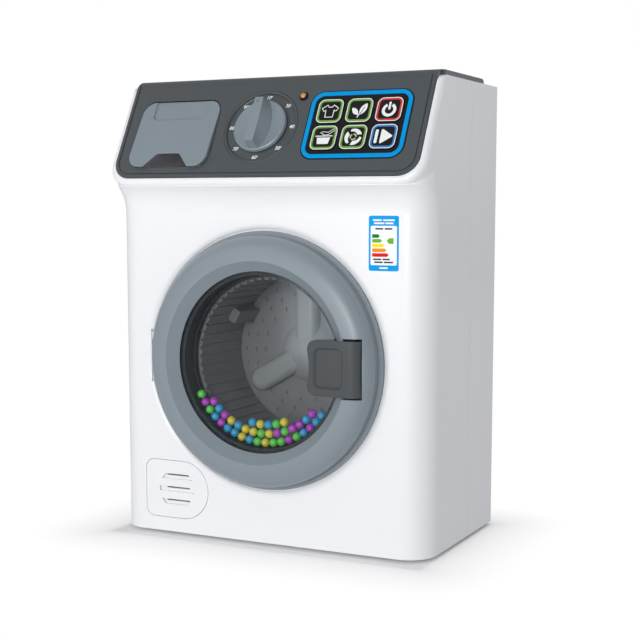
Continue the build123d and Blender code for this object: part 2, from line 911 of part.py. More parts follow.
key_top = fascia_proud + pad_proud / 2 + key_proud
key_foot = bezel_back - part_gap
mat_top = mat_thickness - board_drop
key_names = ["key_shirt", "key_leaf", "key_power", "key_basin", "key_spin", "key_play"]
for name, spot in zip(key_names, key_spots):
    with BuildPart() as key:
        with BuildSketch(panel_at(key_foot)):
            with Locations(spot):
                RectangleRounded(key_width, key_height, key_corner)
        extrude(amount=key_top - key_foot)
        cap = key.faces().sort_by(Axis((0, 0, 0), (0, -slope_cos, slope_sin)))[-1]
        fillet(cap.edges(), key_proud / 2)
        with BuildSketch(panel_at(key_foot - 1)):
            with Locations(spot):
                RectangleRounded(key_width + 1.6, key_height, 1)
        extrude(amount=1)
        with BuildSketch(panel_at(mat_top)):
            with Locations(spot):
                Circle(key_stem)
        extrude(amount=key_foot - mat_top)
    finish(key, name)

with BuildPart() as keypad_mat:
    with BuildSketch(panel_at(-board_drop)):
        add(pad_outline(pad_frame))
        with Locations(*key_spots):
            Circle(key_stem + 0.6, mode=Mode.SUBTRACT)
    extrude(amount=mat_thickness)
finish(keypad_mat, "keypad_mat")

# ---------------------------------------------------------------- detergent drawer
plate_angle = radians(panel_slope + drawer_tilt)
plate_top = slope_point((drawer_high - case_height) / slope_cos, drawer_top_proud)


def drawer_at(proud):
    """Plane of the drawer's front plate; sketch y is 0 at its top edge."""
    face = Plane(
        origin=(drawer_x, front_y + plate_top[0], foot_height + plate_top[1]),
        x_dir=(1, 0, 0),
        z_dir=(0, -cos(plate_angle), sin(plate_angle)),
    )
    return face.offset(proud)


below_foot = 2 * spout_foot - spout_top

with BuildPart() as drawer_front:
    with BuildSketch(front_at(0)):
        add(drawer_outline(0))
    extrude(amount=case_depth, both=True)
    with BuildSketch(drawer_at(-drawer_plate)):
        Rectangle(2 * case_width, 2 * case_width)
    extrude(amount=drawer_plate, mode=Mode.INTERSECT)
    with BuildSketch(front_at(0)) as notch:
        with BuildLine():
            Polyline(
                (drawer_x - below_foot, drawer_low - spout_height),
                (drawer_x - spout_top, drawer_low + spout_height),
                (drawer_x + spout_top, drawer_low + spout_height),
                (drawer_x + below_foot, drawer_low - spout_height),
                close=True,
            )
        make_face()
        fillet(notch.vertices().group_by(Axis.Y)[-1], 2.4)
    extrude(amount=case_depth, both=True, mode=Mode.SUBTRACT)
    with BuildSketch(drawer_at(-thumb_depth)) as thumb:
        with Locations((0, 0)):
            Rectangle(2 * thumb_half, 2 * thumb_height / cos(plate_angle))
        fillet(thumb.vertices(), 3)
    extrude(amount=2 * thumb_depth, mode=Mode.SUBTRACT, taper=-30)
    plate_face = drawer_front.faces().sort_by(Axis((0, 0, 0), drawer_at(0).z_dir))[-1]
    fillet(plate_face.outer_wire().edges(), plate_round)
finish(drawer_front, "drawer_front")

with BuildPart() as drawer_tray:
    with BuildSketch(front_at(tray_end)):
        with Locations((drawer_x, (tray_low + tray_high) / 2)):
            Rectangle(2 * tray_half, tray_high - tray_low)
    extrude(amount=tray_end + crest_depth)
    with BuildSketch(front_at(tray_end - tray_wall)):
        with Locations((drawer_x, (tray_low + tray_wall + case_height) / 2)):
            Rectangle(2 * (tray_half - tray_wall), case_height - tray_low - tray_wall)
    extrude(amount=tray_end + crest_depth, mode=Mode.SUBTRACT)
    with BuildSketch(drawer_at(-drawer_plate)):
        Rectangle(2 * case_width, 2 * case_width)
    extrude(amount=case_depth, mode=Mode.SUBTRACT)
finish(drawer_tray, "drawer_tray")

with BuildPart() as drawer_housing:
    with BuildSketch(front_at(housing_end)):
        with Locations((drawer_x, (housing_low + housing_high) / 2)):
            Rectangle(2 * housing_half, housing_high - housing_low)
    extrude(amount=housing_end + crest_depth)
    with BuildSketch(front_at(housing_end - housing_wall)):
        with Locations((drawer_x, (housing_low + housing_high) / 2)):
            Rectangle(
                2 * (housing_half - housing_wall), housing_high - housing_low - 2 * housing_wall
            )
    extrude(amount=housing_end + crest_depth, mode=Mode.SUBTRACT)
    rail_top = tray_low - rail_gap
    rail_across = housing_half - housing_wall - rail_width / 2
    with BuildSketch(front_at(housing_end)):
        with Locations(*[
            (drawer_x + s * rail_across, (housing_low + rail_top) / 2) for s in (-1, 1)
        ]):
            Rectangle(rail_width, rail_top - housing_low)
    extrude(amount=housing_end + crest_depth)
    with BuildSketch(panel_at(-fascia_seat)):
        Rectangle(3 * case_width, 3 * case_width)
    extrude(amount=case_depth, mode=Mode.SUBTRACT)
finish(drawer_housing, "drawer_housing")

# ---------------------------------------------------------------- door
window_bore = window_radius + part_gap
window_front = -window_seat_proud - window_thickness
pocket_back = latch_depth + latch_roll + 0.6
swing_gap = 0.4

with BuildPart() as latch_block:
    with BuildSketch(door_section):
        with BuildLine():
            Polyline(
                (window_bore, ring_back),
                (ring_radius - ring_wall / 2, ring_back),
                (ring_radius - ring_wall / 2, -flank_proud),
                (ring_shoulder - 0.6, -shoulder_proud + ring_wall / 2),
                (ring_crest + 0.6, -crest_proud + ring_wall / 2),
                (window_bore, -glass_edge_proud - 1.0),
                close=True,
            )
        make_face()
    revolve(axis=door_axis)
    with BuildSketch(door_at(ring_back)):
        with Locations(((pocket_left + pocket_right) / 2 + pocket_wall, 0)):
            Rectangle(pocket_right - pocket_left, 2 * (pocket_half + pocket_wall))
    extrude(amount=crest_proud + ring_back, mode=Mode.INTERSECT)

with BuildPart() as door_ring:
    with BuildSketch(door_section):
        with BuildLine():
            Polyline(
                (glass_edge, window_front), (glass_edge, -glass_edge_proud),
                (ring_crest, -crest_proud),
            )
            ThreePointArc(
                (ring_crest, -crest_proud),
                ((ring_crest + ring_shoulder) / 2, -crest_proud + 0.2),
                (ring_shoulder, -shoulder_proud),
            )
            ThreePointArc(
                (ring_shoulder, -shoulder_proud),
                (ring_shoulder + 4.6, -shoulder_proud + 3.0),
                (ring_radius, -flank_proud),
            )
            Polyline(
                (ring_radius, -flank_proud),
                (ring_radius, ring_back),
                (ring_radius - ring_wall, ring_back),
                (ring_radius - ring_wall, -flank_proud),
                (ring_shoulder - 0.6, -shoulder_proud + ring_wall + 0.6),
                (ring_crest + 0.8, -crest_proud + ring_wall),
                (window_bore, -glass_edge_proud),
                (window_bore, window_front),
                (glass_edge, window_front),
            )
        make_face()
    revolve(axis=door_axis)
    add(latch_block.part)
    # pocket for the grip, its roll and its hook
    with BuildSketch(door_at(latch_tip_depth + latch_plate + swing_gap)):
        with Locations(((pocket_left + pocket_right) / 2 - 1, 0)):
            Rectangle(pocket_right - pocket_left + 2, 2 * pocket_half)
    extrude(amount=crest_proud, mode=Mode.SUBTRACT)
    with BuildSketch(level_at(door_height - pocket_half)):
        with Locations((latch_x, latch_depth)):
            Circle(latch_roll + swing_gap)
    extrude(amount=2 * pocket_half, mode=Mode.SUBTRACT)
    with BuildSketch(door_at(ring_back)):
        with Locations(((hook_left + hook_nose) / 2 - 1.6, 0)):
            Rectangle(hook_nose - hook_left + 3.6, 2 * (hook_half + swing_gap))
    extrude(amount=ring_back - pocket_back + 3, mode=Mode.SUBTRACT)
    with BuildSketch(level_at(door_height - pocket_half - pocket_wall)):
        with Locations((latch_x, latch_depth)):
            Circle(latch_pin_radius)
    extrude(amount=2 * (pocket_half + pocket_wall), mode=Mode.SUBTRACT)
finish(door_ring, "door_ring")

with BuildPart() as door_back:
    with BuildSketch(door_section):
        with BuildLine():
            Polyline(
                (liner_bore, -window_seat_proud),
                (liner_radius, -window_seat_proud),
                (liner_radius, -window_seat_proud + back_plate_thickness),
                (liner_bore + back_plate_thickness, -window_seat_proud + back_plate_thickness),
                (liner_bore + back_plate_thickness, ring_back),
                (back_plate_radius, ring_back),
                (back_plate_radius, ring_back + back_plate_thickness),
                (liner_radius, ring_back + back_plate_thickness),
                (liner_radius, liner_depth),
                (liner_bore, liner_depth),
                (liner_bore, liner_depth - inner_window_thickness),
                (liner_bore - liner_lip, liner_depth - inner_window_thickness),
                (liner_bore - liner_lip, liner_depth - 2 * inner_window_thickness),
                (liner_bore, liner_depth - 2 * inner_window_thickness),
                close=True,
            )
        make_face()
    revolve(axis=door_axis)
    with BuildSketch(door_at(liner_depth)):
        with Locations((hinge_x, 0)):
            Rectangle(2 * (hinge_barrel + hinge_gap), 2 * (ear_start + hinge_ear_height + hinge_gap))
    extrude(amount=2 * liner_depth, mode=Mode.SUBTRACT)
    with BuildSketch(level_at(door_height - hinge_lug_half)):
        with Locations((hinge_x, hinge_depth)):
            Circle(hinge_barrel)
        with Locations((hinge_x, ring_back)):
            Rectangle(
                back_plate_radius / 8, back_plate_thickness, align=(Align.MIN, Align.MIN)
            )
    extrude(amount=2 * hinge_lug_half)
    with BuildSketch(level_at(door_height - hinge_lug_half)):
        with Locations((hinge_x, hinge_depth)):
            Circle(hinge_pin_radius + shaft_clearance)
    extrude(amount=2 * hinge_lug_half, mode=Mode.SUBTRACT)
    with BuildSketch(door_at(liner_depth)):
        with Locations(((hook_left + hook_nose) / 2 - 1.7, 0)):
            Rectangle(hook_nose - hook_left + 3.8, 2 * (hook_half + swing_gap))
        Circle(liner_radius, mode=Mode.SUBTRACT)
    extrude(amount=liner_depth, mode=Mode.SUBTRACT)
finish(door_back, "door_back")

window_flat = glass_edge - 0.6
dome_radius = (window_flat**2 + window_dome**2) / (2 * window_dome)
dome_turn = degrees(asin(window_flat / dome_radius))
with BuildPart() as door_window:
    with BuildSketch(door_section):
        with BuildLine():
            outer_arc = CenterArc(
                (0, window_front - window_dome + dome_radius), dome_radius, -90, dome_turn
            )
            inner_arc = CenterArc(
                (0, dome_radius - window_seat_proud - window_dome), dome_radius, -90, dome_turn
            )
            Polyline(
                outer_arc @ 1,
                (window_radius, window_front),
                (window_radius, -window_seat_proud),
                inner_arc @ 1,
            )
            Line(inner_arc @ 0, outer_arc @ 0)
        make_face()
    revolve(axis=door_axis)
finish(door_window, "door_window")

with BuildPart() as inner_window:
    with BuildSketch(door_at(liner_depth)):
        Circle(liner_bore - 0.1)
    extrude(amount=inner_window_thickness)
finish(inner_window, "inner_window")

# beads lie in arcs at the bottom of the sealed space between the two windows
bead_spots = {"green": [], "magenta": [], "blue": [], "yellow": []}
for row, (first, last) in enumerate(bead_arcs):
    arc_radius = liner_bore - bead_radius - bead_gap - row * (2 * bead_radius + bead_gap)
    step = degrees((2 * bead_radius + bead_gap) / arc_radius)
    for place in range(int((last - first) / step) + 1):
        turn = radians(first + place * step)
        colour = list(bead_spots)[(place * place + row + place // 3) % 4]
        spot = (arc_radius * sin(turn), front_y + bead_depth, door_z - arc_radius * cos(turn))
        bead_spots[colour].append(spot)
for colour, spots in bead_spots.items():
    with BuildPart() as beads:
        with Locations(*spots):
            Sphere(bead_radius)
    finish(beads, f"beads_{colour}")

grip_lean = atan2(latch_tip_depth - latch_depth + latch_roll, latch_x - latch_tip_x)


def grip_at(sunk):
    """Plane of the grip's face, sunk by a depth; its sketch x is 0 at the free edge."""
    face = Plane(
        origin=(latch_tip_x, front_y + latch_tip_depth, door_z),
        x_dir=(cos(grip_lean), -sin(grip_lean), 0),
        z_dir=(-sin(grip_lean), -cos(grip_lean), 0),
    )
    return face.offset(-sunk)


with BuildPart() as latch_handle:
    with BuildSketch(level_at(door_height - latch_height / 2)):
        with Locations((latch_x, latch_depth)):
            Circle(latch_roll)
        with BuildLine():
            Polyline(
                (latch_tip_x, latch_tip_depth),
                (latch_x, latch_depth - latch_roll),
                (latch_x, latch_tip_depth + latch_plate),
                (latch_tip_x, latch_tip_depth + latch_plate),
                close=True,
            )
        make_face()
    extrude(amount=latch_height)
    fillet(latch_handle.edges().filter_by(Axis.Y).sort_by(Axis.X)[:2], latch_corner)
    # scooped grip edge
    with BuildSketch(door_at(0)):
        with BuildLine():
            scoop = latch_height / 2 - latch_corner
            ThreePointArc(
                (latch_tip_x, -scoop), (latch_tip_x + latch_dent, 0), (latch_tip_x, scoop)
            )
            Line((latch_tip_x, scoop), (latch_tip_x, -scoop))
        make_face()
    extrude(amount=case_width, mode=Mode.SUBTRACT)
    # sunk panel in the grip's face
    with BuildSketch(grip_at(grip_sink)):
        with Locations(grip_panel_at):
            RectangleRounded(*grip_panel, grip_panel_corner)
    extrude(amount=2 * grip_sink, taper=-45, mode=Mode.SUBTRACT)
    # hook with its nose
    with BuildSketch(level_at(door_height - hook_half)):
        with BuildLine():
            Polyline(
                (hook_left, latch_depth),
                (hook_right, latch_depth),
                (hook_right, hook_end - 3),
                (hook_nose, hook_end - 2),
                (hook_right - 1, hook_end),
                (hook_left, hook_end),
                close=True,
            )
        make_face()
    extrude(amount=2 * hook_half)
    with BuildSketch(level_at(door_height - latch_height / 2)):
        with Locations((latch_x, latch_depth)):
            Circle(latch_pin_radius + shaft_clearance)
    extrude(amount=latch_height, mode=Mode.SUBTRACT)
finish(latch_handle, "latch_handle")

with BuildPart() as latch_pin:
    with BuildSketch(level_at(door_height - pocket_half - pocket_wall)):
        with Locations((latch_x, latch_depth)):
            Circle(latch_pin_radius)
    extrude(amount=2 * (pocket_half + pocket_wall))
finish(latch_pin, "latch_pin")

spring_play = (pocket_half - latch_height / 2) / 6
with BuildPart() as latch_spring:
    with BuildSketch(level_at(door_height + latch_height / 2 + spring_play)):
        with Locations((latch_x, latch_depth)):
            Circle(2 * latch_pin_radius)
            Circle(latch_pin_radius + 2 * shaft_clearance, mode=Mode.SUBTRACT)
    extrude(amount=4 * spring_play)
finish(latch_spring, "latch_spring")

with BuildPart() as hinge_pins:
    pin_length = hinge_lug_half / 2 + hinge_gap + hinge_ear_height
    for start in (ear_start + hinge_ear_height - pin_length, -ear_start - hinge_ear_height):
        with BuildSketch(level_at(door_height + start)):
            with Locations((hinge_x, hinge_depth)):
                Circle(hinge_pin_radius)
        extrude(amount=pin_length)
finish(hinge_pins, "hinge_pins")

# ---------------------------------------------------------------- drum and its drive
shaft_end_depth = bracket_near + bracket_thickness
bush_front = tub_back - tub_wall - 2.0

with BuildPart() as tub:
    with BuildSketch(door_section):
        with BuildLine():
            Polyline(
                (bush_radius, tub_back - tub_wall),
                (tub_radius - tub_wall, tub_back - tub_wall),
                (tub_radius - tub_wall, tub_front),
                (tub_flange_radius, tub_front),
                (tub_flange_radius, tub_front + tub_wall),
                (tub_radius, tub_front + tub_wall),
                (tub_radius, tub_back),
                (bush_radius, tub_back),
                close=True,
            )
        make_face()
    revolve(axis=door_axis)
    with BuildSketch(door_at(tub_front)):
        with PolarLocations(tub_lug_radius, 4, 45):
            Circle(pillar_radius)
    extrude(amount=tub_front - recess_floor)
    with BuildSketch(door_at(tub_front + tub_wall)):
        with PolarLocations(tub_lug_radius, 4, 45):
            Circle(screw_radius)
        with Locations((tub_flange_radius, 0)):
            Rectangle(2 * (tub_flange_radius - tub_radius) - 1, 4 * hook_half)
    extrude(amount=tub_front, mode=Mode.SUBTRACT)
finish(tub, "tub")

with BuildPart() as tub_screws:
    with BuildSketch(door_at(tub_front + tub_wall)):
        with PolarLocations(tub_lug_radius, 4, 45):
            Circle(pillar_bore - 0.05)
    extrude(amount=tub_front + tub_wall - recess_floor + case_wall / 2)
    with BuildSketch(door_at(tub_front + tub_wall + screw_head_height)):
        with PolarLocations(tub_lug_radius, 4, 45):
            Circle(screw_head)
    extrude(amount=screw_head_height)
finish(tub_screws, "tub_screws")

with BuildPart() as drum:
    with BuildSketch(door_section):
        with BuildLine():
            Polyline(
                (shaft_radius, drum_back - drum_floor),
                (drum_radius - drum_wall, drum_back - drum_floor),
                (drum_radius - drum_wall, drum_front + drum_wall),
                (drum_lip_radius, drum_front + drum_wall),
                (drum_lip_radius, drum_front),
                (drum_radius, drum_front),
                (drum_radius, drum_back),
                (shaft_radius, drum_back),
                close=True,
            )
        make_face()
    revolve(axis=door_axis)
    with BuildSketch(door_at(drum_back - drum_floor)):
        with PolarLocations(drum_radius - drum_wall, joint_count):
            Rectangle(2 * joint_depth, joint_width)
    extrude(amount=drum_back - drum_floor - drum_front - drum_wall, mode=Mode.SUBTRACT)
    with BuildSketch(door_at(drum_front + drum_wall)):
        with PolarLocations(drum_lip_radius, notch_count):
            Rectangle(notch_size, notch_size)
    extrude(amount=drum_wall, mode=Mode.SUBTRACT)
    with BuildSketch(door_at(drum_back - drum_floor / 2)):
        for ring, count in dimple_rings:
            with PolarLocations(ring, count):
                Circle(dimple_radius)
    extrude(amount=drum_floor, mode=Mode.SUBTRACT)
    # lifters along the wall
    with BuildSketch(door_at(drum_back - drum_floor)):
        with PolarLocations(drum_radius - drum_wall - lifter_height / 2, lobe_count, 30):
            Rectangle(lifter_height + drum_wall, lifter_width)
    extrude(amount=lifter_length)
finish(drum, "drum")

pulsator_back = drum_back - drum_floor
hub_dome = (hub_radius**2 + hub_height**2) / (2 * hub_height)
with BuildPart() as pulsator:
    with BuildSketch(door_at(pulsator_back)):
        with PolarLocations(lobe_reach / 2, lobe_count, 90):
            SlotOverall(lobe_reach + lobe_width / 2, lobe_width)
    extrude(amount=lobe_height)
    lobe_face = pulsator.faces().sort_by(Axis.Y)[0]
    fillet(lobe_face.outer_wire().edges(), lobe_round)
    with BuildSketch(door_section):
        with BuildLine():
            Polyline(
                (0, pulsator_back - hub_height), (0, pulsator_back), (hub_radius, pulsator_back)
            )
            CenterArc(
                (0, pulsator_back - hub_height + hub_dome),
                hub_dome,
                -90,
                degrees(asin(hub_radius / hub_dome)),
            )
        make_face()
    revolve(axis=door_axis)
    with BuildSketch(door_at(pulsator_back)):
        Circle(shaft_radius)
    extrude(amount=hub_height / 2, mode=Mode.SUBTRACT)
finish(pulsator, "pulsator")

with BuildPart() as drum_shaft:
    with BuildSketch(door_at(shaft_end_depth)):
        Circle(shaft_radius)
    extrude(amount=shaft_end_depth - pulsator_back + hub_height / 2)
finish(drum_shaft, "drum_shaft")

with BuildPart() as drum_bush:
    with BuildSketch(door_at(bush_front + bush_length)):
        Circle(bush_radius)
    extrude(amount=bush_length)
    with BuildSketch(door_at(tub_back - tub_wall)):
        Circle(bush_flange)
    extrude(amount=tub_back - tub_wall - bush_front)
    with BuildSketch(door_at(bush_front + bush_length)):
        Circle(shaft_radius + shaft_clearance)
    extrude(amount=bush_length, mode=Mode.SUBTRACT)
finish(drum_bush, "drum_bush")

pressure_angle = radians(20)
pinion_shift = 0.4
flank_steps = 5


def gear_outline(teeth, shift):
    """Involute gear outline with a tooth centred on the sketch's x axis."""
    pitch = gear_module * teeth / 2
    base = pitch * cos(pressure_angle)
    tip = pitch + gear_module * (1 + shift)
    root = pitch - gear_module * (1.25 - shift)
    rolled = tan(pressure_angle) - pressure_angle
    half = (pi / 2 + 2 * shift * tan(pressure_angle)) / teeth - gear_backlash / (2 * pitch)
    start = max(base, root)
    flank = []
    for step in range(flank_steps + 1):
        radius = start + (tip - start) * step / flank_steps
        lean = sqrt(max(radius**2 / base**2 - 1, 0))
        flank.append((radius, half + rolled - (lean - atan(lean))))
    if root < base:
        flank.insert(0, (root, flank[0][1]))
    points = []
    for tooth in range(teeth):
        middle = 2 * pi * tooth / teeth
        points += [(r * cos(middle - a), r * sin(middle - a)) for r, a in flank]
        points += [(r * cos(middle + a), r * sin(middle + a)) for r, a in reversed(flank)]
    with BuildSketch() as outline:
        with BuildLine():
            Polyline(*points, close=True)
        make_face()
    return outline.sketch


with BuildPart() as drum_gear:
    with BuildSketch(door_at(gear_near + gear_width)):
        with Locations(Rotation(0, 0, 180 / gear_teeth)):
            add(gear_outline(gear_teeth, -pinion_shift))
        Circle(shaft_radius, mode=Mode.SUBTRACT)
    extrude(amount=gear_width)
finish(drum_gear, "drum_gear")

with BuildPart() as motor_pinion:
    with BuildSketch(door_at(gear_near + gear_width)):
        with Locations((gear_distance, 0)):
            add(gear_outline(pinion_teeth, pinion_shift))
    extrude(amount=gear_width)
    with BuildSketch(door_at(shaft_end_depth + motor_bore_depth)):
        with Locations((gear_distance, 0)):
            Circle(motor_shaft_radius)
    extrude(amount=shaft_end_depth + motor_bore_depth - gear_near)
finish(motor_pinion, "motor_pinion")

with BuildPart() as motor_bracket:
    with BuildSketch(door_at(shaft_end_depth)):
        with Locations(((bracket_left + bracket_right) / 2, 0)):
            RectangleRounded(bracket_right - bracket_left, 2 * bracket_half, post_radius)
        Circle(shaft_radius + shaft_clearance, mode=Mode.SUBTRACT)
        with Locations((gear_distance, 0)):
            Circle(2 * motor_shaft_radius, mode=Mode.SUBTRACT)
    extrude(amount=bracket_thickness)
    with BuildSketch(door_at(bracket_near)):
        with Locations(*[
            (x, side * (bracket_half - post_radius))
            for x in (gear_distance, bracket_right - post_radius)
            for side in (-1, 1)
        ]):
            Circle(post_radius)
    extrude(amount=bracket_near - tub_back)
finish(motor_bracket, "motor_bracket")

with BuildPart() as motor:
    with BuildSketch(door_at(shaft_end_depth + motor_length)):
        with Locations((gear_distance, 0)):
            Circle(motor_radius)
            Rectangle(2 * motor_radius, motor_flat, mode=Mode.INTERSECT)
    extrude(amount=motor_length)
    with BuildSketch(door_at(shaft_end_depth + motor_bore_depth)):
        with Locations((gear_distance, 0)):
            Circle(motor_shaft_radius + shaft_clearance)
    extrude(amount=motor_bore_depth, mode=Mode.SUBTRACT)
finish(motor, "motor")

# ---------------------------------------------------------------- speaker, label, power
with BuildPart() as grille_cover:
    with BuildSketch(front_at(case_wall + grille_flange)):
        add(grille_outline(grille_border))
    extrude(amount=grille_flange)
    with BuildSketch(front_at(case_wall)):
        add(grille_outline(0))
    extrude(amount=case_wall)
    slot_middle = (grille_low + grille_high) / 2
    slot_across = (grille_left + grille_right) / 2
    middle_half, long_half, short_half = slot_halves
    with BuildSketch(front_at(slot_depth)):
        with Locations((slot_across, slot_middle)):
            Rectangle(2 * middle_half, slot_height)
        for side in (-1, 1):
            near = slot_middle + side * (slot_pitch - slot_height / 2)
            far = near + side * slot_height
            with BuildLine():
                Polyline(
                    (slot_across - long_half, near),
                    (slot_across + long_half, near),
                    (slot_across + short_half, far),
                    (slot_across - short_half, far),
                    close=True,
                )
            make_face()
    extrude(amount=case_depth, mode=Mode.SUBTRACT)
    with BuildSketch(front_at(case_wall + grille_flange)):
        for row in (-1, 0, 1):
            with Locations((slot_across, slot_middle + row * slot_pitch + slot_height / 4)):
                Rectangle(2 * short_half, slot_height / 3)
    extrude(amount=case_wall + grille_flange, mode=Mode.SUBTRACT)
finish(grille_cover, "grille_cover")

with BuildPart() as speaker:
    speaker_front = case_wall + grille_flange
    with BuildSketch(front_at(speaker_front + speaker_ring_depth)):
        with Locations((slot_across, slot_middle)):
            Circle(speaker_radius)
    extrude(amount=speaker_ring_depth)
    with BuildSketch(front_at(speaker_front + speaker_depth)):
        with Locations((slot_across, slot_middle)):
            Circle(speaker_radius / 2)
    extrude(amount=speaker_depth - speaker_ring_depth)
    with BuildSketch(front_at(speaker_front + speaker_ring)):
        with Locations((slot_across, slot_middle)):
            Circle(speaker_radius - speaker_ring)
    extrude(amount=speaker_ring, mode=Mode.SUBTRACT)
finish(speaker, "speaker")

with BuildPart() as energy_label:
    with BuildSketch(front_at(0)):
        with Locations(label_at):
            RectangleRounded(*label_size, 0.6)
    extrude(amount=label_thickness)
finish(energy_label, "energy_label")

box_back = back_face
cell_depth = box_back - box_depth + box_wall + cell_radius + 0.4
cell_heights = [box_low + box_wall + (n + 0.5) * cell_pitch for n in range(cell_count)]

with BuildPart() as battery_box:
    with BuildSketch(front_at(box_back)):
        with Locations((0, battery_middle)):
            Rectangle(battery_inner_width + 2 * box_wall, battery_inner_height + 2 * box_wall)
    extrude(amount=box_depth)
    with BuildSketch(front_at(box_back)):
        with Locations((0, battery_middle)):
            Rectangle(battery_inner_width, battery_inner_height)
    extrude(amount=box_depth - box_wall, mode=Mode.SUBTRACT)
finish(battery_box, "battery_box")

with BuildPart() as batteries:
    for number, height in enumerate(cell_heights):
        way = 1 if number % 2 else -1
        middle = -way * cell_nub[1] / 2
        centre = Plane(
            origin=(middle, front_y + cell_depth, foot_height + height), z_dir=(way, 0, 0)
        )
        with BuildSketch(centre.offset(-cell_length / 2)):
            Circle(cell_radius)
        extrude(amount=cell_length)
        with BuildSketch(centre.offset(cell_length / 2)):
            Circle(cell_nub[0])
        extrude(amount=cell_nub[1])
finish(batteries, "batteries")

with BuildPart() as battery_contacts:
    for side in (-1, 1):
        with BuildSketch(side_at(side * battery_inner_width / 2)):
            with Locations(*[(cell_depth, height) for height in cell_heights]):
                Rectangle(cell_radius, cell_radius)
        extrude(amount=-side * contact_thickness)
finish(battery_contacts, "battery_contacts")

with BuildPart() as battery_cover:
    with BuildSketch(front_at(case_depth)):
        add(cover_outline(0))
    extrude(amount=cover_thickness)
    with BuildSketch(front_at(case_depth)):
        with Locations((0, tab_height)):
            Circle(screw_radius + 0.1)
    extrude(amount=cover_thickness, mode=Mode.SUBTRACT)
    with BuildSketch(front_at(case_depth)):
        with Locations((0, tab_height)):
            Circle(screw_head + 0.1)
    extrude(amount=cover_head, mode=Mode.SUBTRACT)
    with BuildSketch(front_at(case_depth)):
        with Locations((0, battery_middle + cover_height / 4)):
            with GridLocations(0, 2.6, 1, 4):
                SlotOverall(cover_width / 2, 1.2)
    extrude(amount=cover_thickness / 3, mode=Mode.SUBTRACT)
finish(battery_cover, "battery_cover")

with BuildPart() as cover_screw:
    with BuildSketch(front_at(case_depth)):
        with Locations((0, tab_height)):
            Circle(screw_head)
            Rectangle(1, 3.6, mode=Mode.SUBTRACT)
            Rectangle(3.6, 1, mode=Mode.SUBTRACT)
    extrude(amount=cover_head)
    with BuildSketch(front_at(case_depth)):
        with Locations((0, tab_height)):
            Circle(screw_radius)
    extrude(amount=screw_head_height * 4)
finish(cover_screw, "cover_screw")

slider_back = case_depth - slider_proud
slider_across = switch_at[0] - slider_travel / 2

with BuildPart() as switch_slider:
    with BuildSketch(front_at(slider_back + slider_proud)):
        with Locations((slider_across, switch_at[1])):
            Rectangle(*slider_size)
    extrude(amount=slider_proud + case_wall)
finish(switch_slider, "switch_slider")

with BuildPart() as switch_body:
    with BuildSketch(front_at(back_face)):
        with Locations(switch_at):
            Rectangle(switch_size[0], switch_size[1])
    extrude(amount=switch_size[1])
    with BuildSketch(front_at(back_face)):
        with Locations(switch_at):
            Rectangle(slider_size[0] + slider_travel + 0.6, slider_size[1] + 0.5)
    extrude(amount=case_wall, mode=Mode.SUBTRACT)
finish(switch_body, "switch_body")
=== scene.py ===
"""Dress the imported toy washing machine: finishes, printed signs, studio floor, light and camera.

Every CAD piece stays where the frame puts it and only takes a material. The printed work (key
signs, dial scale, rating label) is thin raised ink, built here as its own small meshes.
Lengths on the machine are in millimetres until they reach Blender, which works in metres.
"""
import json
import logging
from dataclasses import dataclass, field
from enum import Enum
from math import atan2, cos, hypot, radians, sin

import bpy
from mathutils import Matrix, Vector


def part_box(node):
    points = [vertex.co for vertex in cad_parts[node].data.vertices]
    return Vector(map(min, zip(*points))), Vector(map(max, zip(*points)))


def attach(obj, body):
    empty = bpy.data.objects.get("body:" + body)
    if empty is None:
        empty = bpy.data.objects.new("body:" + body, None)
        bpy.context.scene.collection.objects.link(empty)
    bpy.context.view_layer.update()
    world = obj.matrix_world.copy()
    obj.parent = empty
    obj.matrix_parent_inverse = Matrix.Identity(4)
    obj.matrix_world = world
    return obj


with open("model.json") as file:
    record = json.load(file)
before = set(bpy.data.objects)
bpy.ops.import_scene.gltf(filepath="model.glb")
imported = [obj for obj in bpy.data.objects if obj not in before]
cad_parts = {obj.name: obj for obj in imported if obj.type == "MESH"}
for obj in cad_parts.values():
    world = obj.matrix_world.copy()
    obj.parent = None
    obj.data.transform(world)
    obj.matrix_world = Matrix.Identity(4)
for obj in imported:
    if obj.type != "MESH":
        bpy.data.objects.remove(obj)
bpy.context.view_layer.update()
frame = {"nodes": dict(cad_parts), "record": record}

MM = 0.001
LOG = logging.getLogger("washing_machine")
Point = tuple[float, float]
Triple = tuple[float, float, float]
Loop = list[Point]


def linear(hex_colour: str) -> tuple[float, float, float, float]:
    """Turn an sRGB hex colour to the linear RGBA that Blender's sockets take.

    Args:
        hex_colour: six hex digits, such as "F2F2F3".

    Returns:
        Linear red, green and blue, and an alpha of 1.
    """
    channels = [int(hex_colour[start:start + 2], 16) / 255 for start in (0, 2, 4)]
    bent = [c / 12.92 if c <= 0.04045 else ((c + 0.055) / 1.055) ** 2.4 for c in channels]
    return bent[0], bent[1], bent[2], 1.0


def add_node(
    tree: bpy.types.NodeTree, kind: str, settings: dict | None = None, **links: object
) -> bpy.types.Node:
    """Add one shader node with its settings and its links.

    Args:
        tree: the node tree that takes the node.
        kind: Blender's name for the node's type.
        settings: socket values by socket name, or attributes where no socket has that name.
        links: source sockets by the name of the input they feed, with _ for a space.

    Returns:
        The new node.
    """
    node = tree.nodes.new(kind)
    for name, value in (settings or {}).items():
        if name in node.inputs:
            node.inputs[name].default_value = value
        else:
            setattr(node, name, value)
    for name, source in links.items():
        tree.links.new(source, node.inputs[name.replace("_", " ")])
    return node


